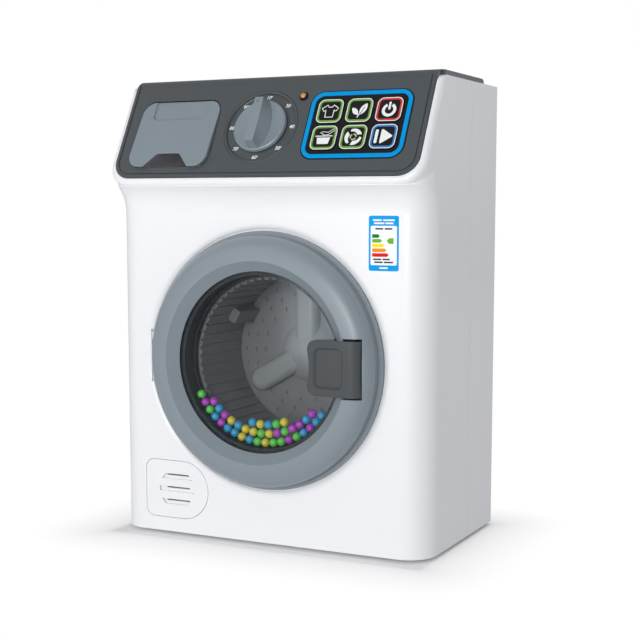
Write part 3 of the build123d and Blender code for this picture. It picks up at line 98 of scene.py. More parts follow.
def mix_shaders(
    tree: bpy.types.NodeTree, share: bpy.types.NodeSocket, first: bpy.types.NodeSocket,
    second: bpy.types.NodeSocket,
) -> bpy.types.NodeSocket:
    """Mix two shaders.

    Args:
        tree: the node tree that they are in.
        share: how much of the second one shows, from 0 to 1.
        first: the shader at a share of 0.
        second: the shader at a share of 1.

    Returns:
        The socket of the mixed shader.
    """
    mixed = add_node(tree, "ShaderNodeMixShader", Fac=share)
    tree.links.new(first, mixed.inputs[1])
    tree.links.new(second, mixed.inputs[2])
    return mixed.outputs["Shader"]


def blank_material(name: str) -> tuple[bpy.types.Material, bpy.types.NodeTree]:
    """Make a node material that has no nodes yet.

    Args:
        name: the material's name.

    Returns:
        The material and its empty node tree.
    """
    material = bpy.data.materials.new(name)
    material.use_nodes = True
    material.node_tree.nodes.clear()
    return material, material.node_tree


# how many times wider than high the relief of a surface is
RELIEF_FLATNESS = 10
# how far light goes into a bead, in millimetres
SCATTER_DEPTH = 2.0


class Grain(Enum):
    """How a surface was made, with the faint relief that this leaves.

    The relief is its spacing in millimetres, the bump's strength and how far the roughness
    varies.
    """

    # a polished tool leaves a wide, barely seen unevenness
    POLISHED = (9.0, 0.02, 0.03)
    # real spark erosion is 0.1 mm, drawn five times as coarse so that it shows
    SPARKED = (0.5, 0.05, 0.05)
    TURNED = (0.6, 0.04, 0.08)
    PRINTED = (1.2, 0.02, 0.06)


@dataclass(frozen=True)
class Finish:
    """One real material with its colour and the way its surface was made."""

    name: str
    colour: str
    roughness: float = 0.35
    ior: float = 1.5
    metallic: float = 0.0
    grain: Grain = Grain.POLISHED
    glow: float = 0.0
    subsurface: float = 0.0

    def build(self) -> bpy.types.Material:
        """Make the Blender material for this finish.

        Returns:
            A node material with one Principled shader, with faint relief and uneven gloss.
        """
        spacing, strength, spread = self.grain.value
        material, tree = blank_material(self.name)
        place = add_node(tree, "ShaderNodeTexCoord")
        noise = add_node(
            tree, "ShaderNodeTexNoise", {"Scale": 1 / (spacing * MM), "Detail": 2.0},
            Vector=place.outputs["Object"],
        )
        gloss = add_node(tree, "ShaderNodeMapRange", {
            "To Min": self.roughness - spread, "To Max": self.roughness + spread,
        }, Value=noise.outputs["Fac"])
        bump = add_node(tree, "ShaderNodeBump", {
            "Strength": strength, "Distance": spacing * MM / RELIEF_FLATNESS,
        }, Height=noise.outputs["Fac"])
        shader = add_node(
            tree, "ShaderNodeBsdfPrincipled",
            {"Base Color": linear(self.colour), "Metallic": self.metallic},
            Roughness=gloss.outputs["Result"], Normal=bump.outputs["Normal"],
        )
        if not self.metallic:
            shader.inputs["IOR"].default_value = self.ior
        # painted glow: emission in the finish's own colour
        if self.glow:
            shader.inputs["Emission Color"].default_value = linear(self.colour)
            shader.inputs["Emission Strength"].default_value = self.glow
        if self.subsurface:
            shader.inputs["Subsurface Weight"].default_value = self.subsurface
            shader.inputs["Subsurface Radius"].default_value = (SCATTER_DEPTH * MM,) * 3
        add_node(tree, "ShaderNodeOutputMaterial", Surface=shader.outputs["BSDF"])
        return material


@dataclass(frozen=True)
class ClearSheet:
    """Clear moulded polystyrene: seen through, with a soft gloss on the side that faces out."""

    name: str
    tint: str
    ior: float
    roughness: float
    gloss_tint: str = "DCEEFA"

    def build(self) -> bpy.types.Material:
        """Make the see-through material.

        Returns:
            A node material that mixes a clear and a glossy shader by the Fresnel term.
        """
        material, tree = blank_material(self.name)
        fresnel = add_node(tree, "ShaderNodeFresnel", {"IOR": self.ior})
        clear = add_node(tree, "ShaderNodeBsdfTransparent", {"Color": linear(self.tint)})
        gloss = add_node(tree, "ShaderNodeBsdfGlossy", {
            "Color": linear(self.gloss_tint), "Roughness": self.roughness,
        })
        geometry = add_node(tree, "ShaderNodeNewGeometry")
        outer_side = mix_shaders(
            tree, fresnel.outputs["Fac"], clear.outputs["BSDF"], gloss.outputs["BSDF"]
        )
        sheet = mix_shaders(
            tree, geometry.outputs["Backfacing"], outer_side, clear.outputs["BSDF"]
        )
        add_node(tree, "ShaderNodeOutputMaterial", Surface=sheet)
        return material


# ABS, moulded in a polished tool: the case is bright white with a broad soft sheen
WHITE_CASE = Finish("white_abs_polished", "F1F1F3", 0.3, 1.5)
# ABS with a fine spark-eroded face: dark grey, and its sheen spreads into a soft gradient
DARK_PANEL = Finish("dark_grey_abs", "4C5154", 0.34, 1.5, grain=Grain.SPARKED)
# the same ABS in mid grey, satin: door ring, knob and drawer
GREY_TRIM = Finish("mid_grey_abs_satin", "858F96", 0.36, 1.5, grain=Grain.SPARKED)
# the grip's ABS is as dark as the panel's and glossier, so its edges catch the light
DARK_GRIP = Finish("charcoal_abs", "4C5052", 0.2, 1.35)
BLUE_TRIM = Finish("blue_abs_gloss", "0098DE", 0.4, 1.2)
BLACK_PLATE = Finish("black_abs_gloss", "120F10", 0.3, 1.4)
# amber polystyrene, with a faint painted glow in its own colour for light shining through it
AMBER_LENS = Finish("amber_polystyrene", "C98F33", 0.18, 1.59, glow=0.1)
LED_BODY = Finish("clear_epoxy", "D8CDB4", 0.2, 1.55)
# polystyrene beads, tumbled: bright, with a small round highlight on each
BEAD_GREEN = Finish("green_polystyrene", "5CC94A", 0.2, 1.55, subsurface=0.2)
BEAD_MAGENTA = Finish("magenta_polystyrene", "B03CB8", 0.2, 1.55, subsurface=0.2)
BEAD_BLUE = Finish("blue_polystyrene", "2F9CCB", 0.2, 1.55, subsurface=0.2)
BEAD_YELLOW = Finish("yellow_polystyrene", "D6C63A", 0.2, 1.55, subsurface=0.2)
# polypropylene drum: semi-gloss warm grey with long soft highlights
DRUM_GREY = Finish("warm_grey_polypropylene", "888486", 0.33, 1.49)
PULSATOR_GREY = Finish("pale_grey_polypropylene", "A3A2A4", 0.26, 1.49)
TUB_GREY = Finish("light_grey_polypropylene", "A0A2A4", 0.45, 1.49)
STEEL = Finish("bright_steel_wire", "C4C5C8", 0.3, metallic=1.0, grain=Grain.TURNED)
# steel darkened to near-black as painted shade: the black gap round the grip's pin and spring
PAINTED_SHADE_STEEL = Finish("blackened_steel", "2C2D2F", 0.4, metallic=1.0, grain=Grain.TURNED)
ZINC = Finish("zinc_plated_steel", "C9CACC", 0.35, metallic=1.0, grain=Grain.TURNED)
BRASS = Finish("turned_brass", "D2AC62", 0.3, metallic=1.0, grain=Grain.TURNED)
MOTOR_CAN = Finish("nickel_plated_can", "BFC0C2", 0.28, metallic=1.0, grain=Grain.TURNED)
ACETAL = Finish("natural_acetal", "E8E5DC", 0.35, 1.48)
BOARD = Finish("green_solder_mask", "2F6B3C", 0.35, 1.5, grain=Grain.PRINTED)
BLACK_SWITCH = Finish("black_nylon", "1C1C1E", 0.45, 1.53, grain=Grain.SPARKED)
MAT_RUBBER = Finish("silicone_sheet", "B4B6B4", 0.6, 1.41, grain=Grain.SPARKED)
FOOT_RUBBER = Finish("moulded_rubber", "414143", 0.75, 1.52, grain=Grain.SPARKED)
LABEL_FILM = Finish("printed_film", "F4F7F9", 0.3, 1.5, grain=Grain.PRINTED)
SPEAKER_CONE = Finish("pressed_paper_cone", "222224", 0.7, 1.5, grain=Grain.SPARKED)
CELL_WRAP = Finish("shrink_sleeve", "292C31", 0.3, 1.5, grain=Grain.PRINTED)
# painted shade: near-black for the gaps that lie in shade round the drum and round the indicator's
# lens
PAINTED_SHADE_BLACK = Finish("black_lining_paint", "202224", 0.4, 1.45, grain=Grain.PRINTED)
# inks: flat, slightly glossy, each as its real colour
WHITE_INK = Finish("white_ink", "F2F3F3", 0.4, 1.45, grain=Grain.PRINTED)
GREEN_INK = Finish("green_ink", "6FA83F", 0.4, 1.45, grain=Grain.PRINTED)
LEAF_INK = Finish("pale_green_ink", "BBD9A0", 0.4, 1.45, grain=Grain.PRINTED)
RED_INK = Finish("red_ink", "D93A3A", 0.4, 1.45, grain=Grain.PRINTED)
BLUE_INK = Finish("blue_ink", "2A80C8", 0.4, 1.45, grain=Grain.PRINTED)
MARK_GREY = Finish("engraved_mark_grey", "5D666C", 0.5, 1.45, grain=Grain.PRINTED)
LABEL_BLUE = Finish("label_blue_ink", "009FE8", 0.5, 1.2, grain=Grain.PRINTED)
LABEL_BLACK = Finish("label_black_ink", "26282A", 0.4, 1.45, grain=Grain.PRINTED)
BAR_DARK_GREEN = Finish("bar_dark_green_ink", "007A3A", 0.5, 1.25, grain=Grain.PRINTED)
BAR_GREEN = Finish("bar_green_ink", "6DB52A", 0.5, 1.25, grain=Grain.PRINTED)
BAR_YELLOW = Finish("bar_yellow_ink", "FBE300", 0.5, 1.25, grain=Grain.PRINTED)
BAR_ORANGE = Finish("bar_orange_ink", "F29100", 0.5, 1.25, grain=Grain.PRINTED)
BAR_RED = Finish("bar_red_ink", "E0121C", 0.5, 1.25, grain=Grain.PRINTED)
# the door's two windows: the outer one carries the gloss
WINDOW = ClearSheet("clear_polystyrene", "FBFCFC", 1.4, 0.12)
INNER_WINDOW = ClearSheet("clear_polystyrene_inner", "FBFCFC", 1.12, 0.12)

SLOT_FINISHES = {
    "white_shell": WHITE_CASE, "dark_panel": DARK_PANEL, "grey_trim": GREY_TRIM,
    "dark_grip": DARK_GRIP, "blue_trim": BLUE_TRIM, "black_plate": BLACK_PLATE,
    "key_cap": BLACK_PLATE, "amber_lens": AMBER_LENS, "led_body": LED_BODY, "window": WINDOW,
    "bead_green": BEAD_GREEN, "bead_magenta": BEAD_MAGENTA, "bead_blue": BEAD_BLUE,
    "bead_yellow": BEAD_YELLOW, "drum_grey": DRUM_GREY, "tub_grey": TUB_GREY,
    "pulsator_grey": PULSATOR_GREY, "steel": STEEL, "zinc": ZINC, "acetal": ACETAL,
    "brass_pinion": BRASS, "motor_can": MOTOR_CAN, "board": BOARD, "switch_black": BLACK_SWITCH,
    "mat_rubber": MAT_RUBBER, "foot_rubber": FOOT_RUBBER, "label": LABEL_FILM,
    "speaker_black": SPEAKER_CONE, "cell_wrap": CELL_WRAP,
}
# pieces that look unlike the rest of their slot; the grip's pin and spring are darkened as painted
# shade for the gap round them
NODE_FINISHES = {
    "inner_window": INNER_WINDOW, "latch_pin": PAINTED_SHADE_STEEL, "latch_spring": PAINTED_SHADE_STEEL,
}
# the door's back is painted near-black inside this radius: painted shade for the dark gap round the
# drum
DOOR_SHADE_RADIUS = 60.5
# the indicator's lens is painted near-black outside this radius: painted shade where it sits in the
# panel
LENS_SHADE_RADIUS = 1.8


class Paintbox:
    """Keeps one Blender material for each finish."""

    def __init__(self) -> None:
        """Start with no materials made."""
        self.made: dict[str, bpy.types.Material] = {}

    def material(self, finish: Finish | ClearSheet) -> bpy.types.Material:
        """Give the material of a finish, made on its first use.

        Args:
            finish: the finish.

        Returns:
            Its one material.
        """
        if finish.name not in self.made:
            self.made[finish.name] = finish.build()
        return self.made[finish.name]

    def dress(self, piece: bpy.types.Object, finish: Finish | ClearSheet) -> None:
        """Put a finish on a piece in place of what it had.

        Args:
            piece: the mesh object.
            finish: its new finish.
        """
        piece.data.materials.clear()
        piece.data.materials.append(self.material(finish))


PAINT = Paintbox()


@dataclass(frozen=True)
class Face:
    """A flat face that carries print: where it lies and which way its print reads."""

    origin: Vector
    right: Vector
    up: Vector

    def matrix(self, spot: Point = (0.0, 0.0), lift: float = 0.0) -> Matrix:
        """Place something on the face.

        Args:
            spot: millimetres right and up from the face's origin.
            lift: millimetres above the face.

        Returns:
            The matrix that carries local x, y to the face's right and up.
        """
        out = self.right.cross(self.up)
        place = self.origin + (self.right * spot[0] + self.up * spot[1] + out * lift) * MM
        turned = Matrix((self.right, self.up, out)).transposed().to_4x4()
        return Matrix.Translation(place) @ turned


# each layer of ink is this thick, and sinks this far into what it lies on
INK_THICKNESS = 0.06
INK_SINK = 0.02


def ink(
    name: str, loops: list[Loop], face: Face, spot: Point, finish: Finish, body: str,
    layer: int = 0,
) -> bpy.types.Object:
    """Lay flat ink on a face: loops in millimetres, where a loop inside another is a hole.

    Args:
        name: the piece's name.
        loops: closed outlines about the spot.
        face: the face that carries the ink.
        spot: where the outlines' origin lies on the face, in millimetres.
        finish: the ink.
        body: the CAD body that the ink rides on.
        layer: 0 on the bare face, 1 on another ink.

    Returns:
        The ink as a mesh object.
    """
    curve = bpy.data.curves.new(name, "CURVE")
    curve.dimensions = "2D"
    curve.fill_mode = "BOTH"
    curve.extrude = INK_THICKNESS / 2
    for loop in loops:
        spline = curve.splines.new("POLY")
        spline.points.add(len(loop) - 1)
        for point, (x, y) in zip(spline.points, loop):
            point.co = (x, y, 0, 1)
        spline.use_cyclic_u = True
    drawn = bpy.data.objects.new(name, curve)
    lift = INK_THICKNESS / 2 - INK_SINK + layer * (INK_THICKNESS - INK_SINK)
    return settle(drawn, name, face.matrix(spot, lift), finish, body)


def settle(
    drawn: bpy.types.Object, name: str, place: Matrix, finish: Finish, body: str
) -> bpy.types.Object:
    """Turn a drawn curve or text into a mesh in the row frame and let it ride on its body.

    Args:
        drawn: the curve or text object, in millimetres about its own origin.
        name: the name of the finished piece.
        place: where its origin goes.
        finish: its ink.
        body: the CAD body that it rides on.

    Returns:
        The finished mesh object.
    """
    bpy.context.scene.collection.objects.link(drawn)
    bpy.context.view_layer.update()
    evaluated = drawn.evaluated_get(bpy.context.evaluated_depsgraph_get())
    mesh = bpy.data.meshes.new_from_object(evaluated)
    bpy.data.objects.remove(drawn)
    mesh.transform(place @ Matrix.Scale(MM, 4))
    mesh.name = name
    piece = bpy.data.objects.new(name, mesh)
    bpy.context.scene.collection.objects.link(piece)
    PAINT.dress(piece, finish)
    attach(piece, body)
    return piece


# how finely the outlines are drawn
CIRCLE_POINTS = 48
CORNER_STEPS = 8
LENS_STEPS = 12
# below 1, the ends of a leaf are fuller than those of a sine wave
LENS_FULLNESS = 0.8
# keeps the mitre of a sharp corner from running away
SHARPEST_MITRE = 0.5


def arc(centre: Point, radius: float, start: float, end: float, steps: int = 24) -> Loop:
    """Points along an arc, with its angles in degrees.

    Args:
        centre: the arc's centre.
        radius: its radius.
        start: the first angle.
        end: the last angle.
        steps: how many stretches it is drawn in.

    Returns:
        The points, both ends included.
    """
    turns = [radians(start + (end - start) * step / steps) for step in range(steps + 1)]
    return [(centre[0] + radius * cos(t), centre[1] + radius * sin(t)) for t in turns]


def circle(centre: Point, radius: float) -> Loop:
    """A closed circle.

    Args:
        centre: its centre.
        radius: its radius.

    Returns:
        The closed outline as points.
    """
    return arc(centre, radius, 0, 360 - 360 / CIRCLE_POINTS, CIRCLE_POINTS - 1)


def rounded(width: float, height: float, corner: float, centre: Point = (0.0, 0.0)) -> Loop:
    """A rectangle with round corners.

    Args:
        width: full width.
        height: full height.
        corner: corner radius.
        centre: its middle.

    Returns:
        The closed outline as points.
    """
    shape: Loop = []
    for quarter, (side, end) in enumerate(((1, 1), (-1, 1), (-1, -1), (1, -1))):
        middle = (
            centre[0] + side * (width / 2 - corner), centre[1] + end * (height / 2 - corner)
        )
        shape += arc(middle, corner, 90 * quarter, 90 * quarter + 90, CORNER_STEPS)
    return shape


def rim(size: Point, corner: float, edges: Point) -> list[Loop]:
    """A stripe along the edge of a rectangle with round corners.

    Args:
        size: the rectangle's full width and height.
        corner: its corner radius.
        edges: how far outside the rectangle the stripe's two edges lie.

    Returns:
        Two loops, one for each edge.
    """
    return [rounded(size[0] + 2 * out, size[1] + 2 * out, corner + out) for out in edges]


def band(path: Loop, width: float) -> Loop:
    """A stripe of even width along an open path.

    Args:
        path: the middle line.
        width: the stripe's width.

    Returns:
        The closed outline of the stripe.
    """
    left: Loop = []
    right: Loop = []
    for index, (x, y) in enumerate(path):
        before = path[max(index - 1, 0)]
        after = path[min(index + 1, len(path) - 1)]
        turn = atan2(after[1] - before[1], after[0] - before[0])
        dx, dy = -sin(turn) * width / 2, cos(turn) * width / 2
        left.append((x + dx, y + dy))
        right.append((x - dx, y - dy))
    return left + right[::-1]


def outline(path: Loop, width: float) -> list[Loop]:
    """A stripe of even width along a closed path, as its outer and its inner loop.

    Args:
        path: the middle line, without its first point again at the end.
        width: the stripe's width.

    Returns:
        Two loops, one on each side of the path.
    """
    sides: list[Loop] = [[], []]
    for index, (x, y) in enumerate(path):
        before, after = path[index - 1], path[(index + 1) % len(path)]
        into = (x - before[0], y - before[1])
        onward = (after[0] - x, after[1] - y)
        into_length, onward_length = hypot(*into), hypot(*onward)
        first = (-into[1] / into_length, into[0] / into_length)
        second = (-onward[1] / onward_length, onward[0] / onward_length)
        share = max(1 + first[0] * second[0] + first[1] * second[1], SHARPEST_MITRE)
        reach = ((first[0] + second[0]) / share, (first[1] + second[1]) / share)
        for side, sign in zip(sides, (1, -1)):
            side.append((x + sign * reach[0] * width / 2, y + sign * reach[1] * width / 2))
    return sides


def moved(loop: Loop, dx: float, dy: float, turn: float = 0.0) -> Loop:
    """A loop turned about its origin, then moved.

    Args:
        loop: the loop.
        dx: how far it moves right.
        dy: how far it moves up.
        turn: how far it turns first, in degrees.

    Returns:
        The loop in its new place.
    """
    c, s = cos(radians(turn)), sin(radians(turn))
    return [(x * c - y * s + dx, x * s + y * c + dy) for x, y in loop]


def lens(length: float, width: float) -> Loop:
    """A pointed leaf shape that stands on its origin and grows upwards.

    Args:
        length: from tip to tip.
        width: across the middle.

    Returns:
        The closed outline as points.
    """
    steps = [step / LENS_STEPS for step in range(LENS_STEPS + 1)]
    swell = [
        (width / 2 * sin(radians(180 * t)) ** LENS_FULLNESS, length * t) for t in steps
    ]
    return swell + [(-x, y) for x, y in swell[-2:0:-1]]


# the font's capitals are this share of its size
CAPITAL_SHARE = 0.72


@dataclass
class ControlPanel:
    """The sloped panel: its print planes, the dial's scale and the knob's mark.

    Places on it are right of the machine's middle and up from the crest.
    """

    # the lean of the plane through the crest, in degrees, and how far the crest lies behind the
    # case's front
    slope: float = 28.0
    crest_depth: float = 24.5
    # how far the panel stands out from that plane
    proud: float = 0.6
    dial_at: Point = (-4.9, -36.4)
    scale_radius: float = 20.8
    scale_proud: float = -0.4
    figures: tuple[int, ...] = (30, 40, 50, 60, 70, 80, 90, 10)
    first_angle: float = 45.0
    figure_height: float = 2.35
    figure_weight: float = 0.07
    figure_slant: float = 0.15
    figure_steps: int = 4
    # the degree ring's centre from its figure's, and its two radii
    degree_at: Point = (2.1, 0.8)
    degree_radii: Point = (0.42, 0.17)
    # the knob's pointer is a U; its place is from the dial's middle
    mark_at: Point = (-0.2, 12.3)
    mark_proud: float = 10.3
    mark_radius: float = 0.75
    mark_leg: float = 1.0
    mark_width: float = 0.42
    indicator_at: Point = (19.9, -16.1)
    indicator_radius: float = 2.25
    # how far outside the indicator the two edges of its ring of painted shade lie
    collar_edges: Point = (0.75, 0.05)
    pad_at: Point = (59.5, -36.5)
    pad_size: Point = (65.7, 45.2)
    pad_corner: float = 8.0
    seam_width: float = 0.85

    def face(self, proud: float) -> Face:
        """A plane with the panel's slope; its height is 0 at the crest.

        Args:
            proud: how far it lies outside the plane through the crest, in millimetres.

        Returns:
            The plane.
        """
        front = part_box("energy_label")[1].y
        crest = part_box("control_fascia")[1].z
        up = Vector((0, sin(radians(self.slope)), cos(radians(self.slope))))
        out = Vector((0, -cos(radians(self.slope)), sin(radians(self.slope))))
        origin = Vector((0, front + self.crest_depth * MM, crest)) + out * proud * MM
        return Face(origin, Vector((1, 0, 0)), up)

    def figure(self, value: int, spot: Point) -> None:
        """Print one figure of the dial's scale, with its degree ring.

        Args:
            value: the number.
            spot: the figure's middle on the panel.
        """
        name = f"dial_figure_{value}"
        face = self.face(self.scale_proud)
        drawn = bpy.data.curves.new(name, "FONT")
        drawn.body = str(value)
        drawn.size = self.figure_height / CAPITAL_SHARE
        drawn.align_x = "CENTER"
        drawn.align_y = "CENTER"
        drawn.extrude = INK_THICKNESS / 2
        drawn.offset = self.figure_weight
        drawn.shear = self.figure_slant
        drawn.resolution_u = self.figure_steps
        place = face.matrix(spot, INK_THICKNESS / 2 - INK_SINK)
        text = bpy.data.objects.new(name, drawn)
        settle(text, name, place, WHITE_INK, "case")
        degree = [circle(self.degree_at, radius) for radius in self.degree_radii]
        ink(f"dial_degree_{value}", degree, face, spot, WHITE_INK, "case")

    def scale(self) -> None:
        """Print the dial's scale, clockwise from its first figure."""
        step = -360 / len(self.figures)
        for number, value in enumerate(self.figures):
            turn = radians(self.first_angle + step * number)
            self.figure(value, (
                self.dial_at[0] + self.scale_radius * cos(turn),
                self.dial_at[1] + self.scale_radius * sin(turn),
            ))
        LOG.info("dial scale with %d figures", len(self.figures))

    def pointer(self) -> None:
        """Print the knob's pointer."""
        spot = (self.dial_at[0] + self.mark_at[0], self.dial_at[1] + self.mark_at[1])
        bend = arc((0, 0), self.mark_radius, 180, 360, 10)
        path = [(-self.mark_radius, self.mark_leg)] + bend + [(self.mark_radius, self.mark_leg)]
        mark = band(path, self.mark_width)
        face = self.face(self.mark_proud)
        ink("knob_pointer", [mark], face, spot, MARK_GREY, "knob")
        LOG.info("knob pointer")

    def seams(self) -> None:
        """Paint dark lines of painted shade round the indicator and the keypad, where their gaps
        lie in shade.
        """
        face = self.face(self.proud)
        # painted shade: a black ring round the indicator where the gap round its lens lies in shade
        painted_shade_ring = [circle((0, 0), self.indicator_radius + out) for out in self.collar_edges]
        ink(
            "indicator_collar", painted_shade_ring, face, self.indicator_at, BLACK_PLATE, "case",
        )
        # painted shade: a black line round the keypad's frame where the gap of its recess lies in
        # shade
        painted_shade_line = rim(self.pad_size, self.pad_corner, (0.0, self.seam_width))
        ink("keypad_seam", painted_shade_line, face, self.pad_at, BLACK_PLATE, "case")
        LOG.info("indicator collar and keypad seam")

    def build(self) -> None:
        """Print all that the panel and its knob carry, apart from the keys' signs, and paint the
        shade lines round the indicator and the keypad.
        """
        self.scale()
        self.pointer()
        self.seams()


class Sign(Enum):
    """The plain picture on each key."""

    SHIRT = "shirt"
    LEAF = "leaf"
    POWER = "power"
    BASIN = "basin"
    SPIN = "spin"
    PLAY = "play"


UPPER_KEYS = (Sign.SHIRT, Sign.LEAF, Sign.POWER)


@dataclass
class Keypad:
    """Six press keys, each with a coloured ring, a fine white line and a white sign.

    Each picture is a list of pieces of ink, and each piece a list of loops.
    """

    panel: ControlPanel
    key_size: Point = (17.0, 16.7)
    corner: float = 4.2
    pitch: float = 18.1
    middle_height: float = -36.5
    top_proud: float = 1.45
    line_inset: float = 0.35
    line_width: float = 0.5
    ring_width: float = 1.15
    rings: dict[Sign, Finish] = field(default_factory=lambda: {
        Sign.SHIRT: GREEN_INK, Sign.LEAF: GREEN_INK, Sign.POWER: RED_INK,
        Sign.BASIN: GREEN_INK, Sign.SPIN: GREEN_INK, Sign.PLAY: BLUE_INK,
    })

    def face(self, sign: Sign) -> Face:
        """A key's top face, with its origin in the middle.

        Args:
            sign: the key's sign.

        Returns:
            The face.
        """
        low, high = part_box(f"key_{sign.value}")
        row = 0.5 if sign in UPPER_KEYS else -0.5
        plane = self.panel.face(self.top_proud)
        height = self.middle_height + row * self.pitch
        origin = plane.origin + plane.up * height * MM
        origin.x = (low.x + high.x) / 2
        return Face(origin, plane.right, plane.up)

    def stripe(self, inset: float, width: float) -> list[Loop]:
        """A stripe along the key's edge.

        Args:
            inset: how far inside the edge it starts.
            width: its width.

        Returns:
            Its outer and its inner loop.
        """
        return rim(self.key_size, self.corner, (-inset, -(inset + width)))

    def shirt(self) -> list[list[Loop]]:
        """A shirt in outline."""
        right = [
            (2.1, 4.0), (5.3, 1.9), (4.0, -0.2), (2.7, 0.5), (2.5, -4.2),
        ]
        path = right + [(-x, y) for x, y in right[::-1]] + [(-1.0, 2.6), (1.0, 2.6)]
        return [outline(path, 0.5)]

    def leaf(self) -> list[list[Loop]]:
        """Two leaves on one stem, with a vein left bare in the taller one."""
        tall, short = lens(8.6, 4.0), lens(6.6, 3.2)
        vein = band([(0.0, -0.5), (0.0, 5.6)], 0.45)
        stem = band([(-0.4, -5.0), (0.1, -3.4), (0.3, -2.4)], 0.7)
        return [
            [moved(tall, 0.7, -3.2, -26), moved(vein, 0.9, -2.8, -26)],
            [moved(short, -0.3, -3.2, 42)], [stem],
        ]

    def power(self) -> list[list[Loop]]:
        """The standby sign: an open ring with a bar."""
        ring = band(arc((0, -0.5), 3.6, 116, 424, 40), 1.9)
        return [[ring], [rounded(1.4, 5.4, 0.6, (0, 2.3))]]

    def basin(self) -> list[list[Loop]]:
        """A wash basin with an arm that reaches in."""
        bowl = [(-4.4, 0.0), (-3.6, -4.4), (3.6, -4.4), (4.4, 0.0)]
        brim = band([(-5.6, 1.0), (5.6, 1.0)], 0.6)
        arm = [
            (6.3, 6.2), (2.2, 3.5), (-1.2, 4.0), (-2.8, 3.2), (-1.0, 2.5), (-0.6, 1.7),
            (2.4, 1.8), (6.5, 4.8),
        ]
        return [[bowl], [brim], outline(arm, 0.4)]

    def spin(self) -> list[list[Loop]]:
        """Three sweeping blades, each with a broad head."""
        blade = arc((0, 0), 5.5, 8, 104, 16) + arc((-1.1, 0.2), 3.7, 96, 12, 12)
        return [[moved(blade, 0, 0, turn)] for turn in (10, 130, 250)]

    def eye(self) -> list[Loop]:
        """Three arcs for the middle of the spin sign, in an ink of their own."""
        return [band(arc((0, 0), 1.8, turn, turn + 92, 10), 0.8) for turn in (0, 120, 240)]

    def play(self) -> list[list[Loop]]:
        """A bar and a triangle with round corners."""
        triangle = arc((-1.1, 4.0), 0.7, 60, 180, 6) + arc((-1.1, -4.0), 0.7, 180, 300, 6)
        triangle += arc((4.9, 0.0), 0.7, -60, 60, 6)
        return [[rounded(1.9, 9.2, 0.8, (-4.5, 0))], [triangle]]

    def picture(self, sign: Sign) -> list[list[Loop]]:
        """The picture on a key.

        Args:
            sign: the key's sign.

        Returns:
            The picture's pieces of ink.
        """
        return {
            Sign.SHIRT: self.shirt, Sign.LEAF: self.leaf, Sign.POWER: self.power,
            Sign.BASIN: self.basin, Sign.SPIN: self.spin, Sign.PLAY: self.play,
        }[sign]()

    def build(self) -> None:
        """Print every key."""
        for sign, colour in self.rings.items():
            face = self.face(sign)
            body = f"key_{sign.value}_cap"
            line = self.stripe(self.line_inset, self.line_width)
            ring = self.stripe(self.line_inset + self.line_width, self.ring_width)
            ink(f"{sign.value}_key_line", line, face, (0, 0), WHITE_INK, body)
            ink(f"{sign.value}_key_ring", ring, face, (0, 0), colour, body)
            for number, loops in enumerate(self.picture(sign)):
                name = f"{sign.value}_key_sign_{number + 1}"
                ink(name, loops, face, (0, 0), WHITE_INK, body)
            if sign is Sign.SPIN:
                ink("spin_key_eye", self.eye(), face, (0, 0), LEAF_INK, body)
            LOG.info("key %s", sign.value)


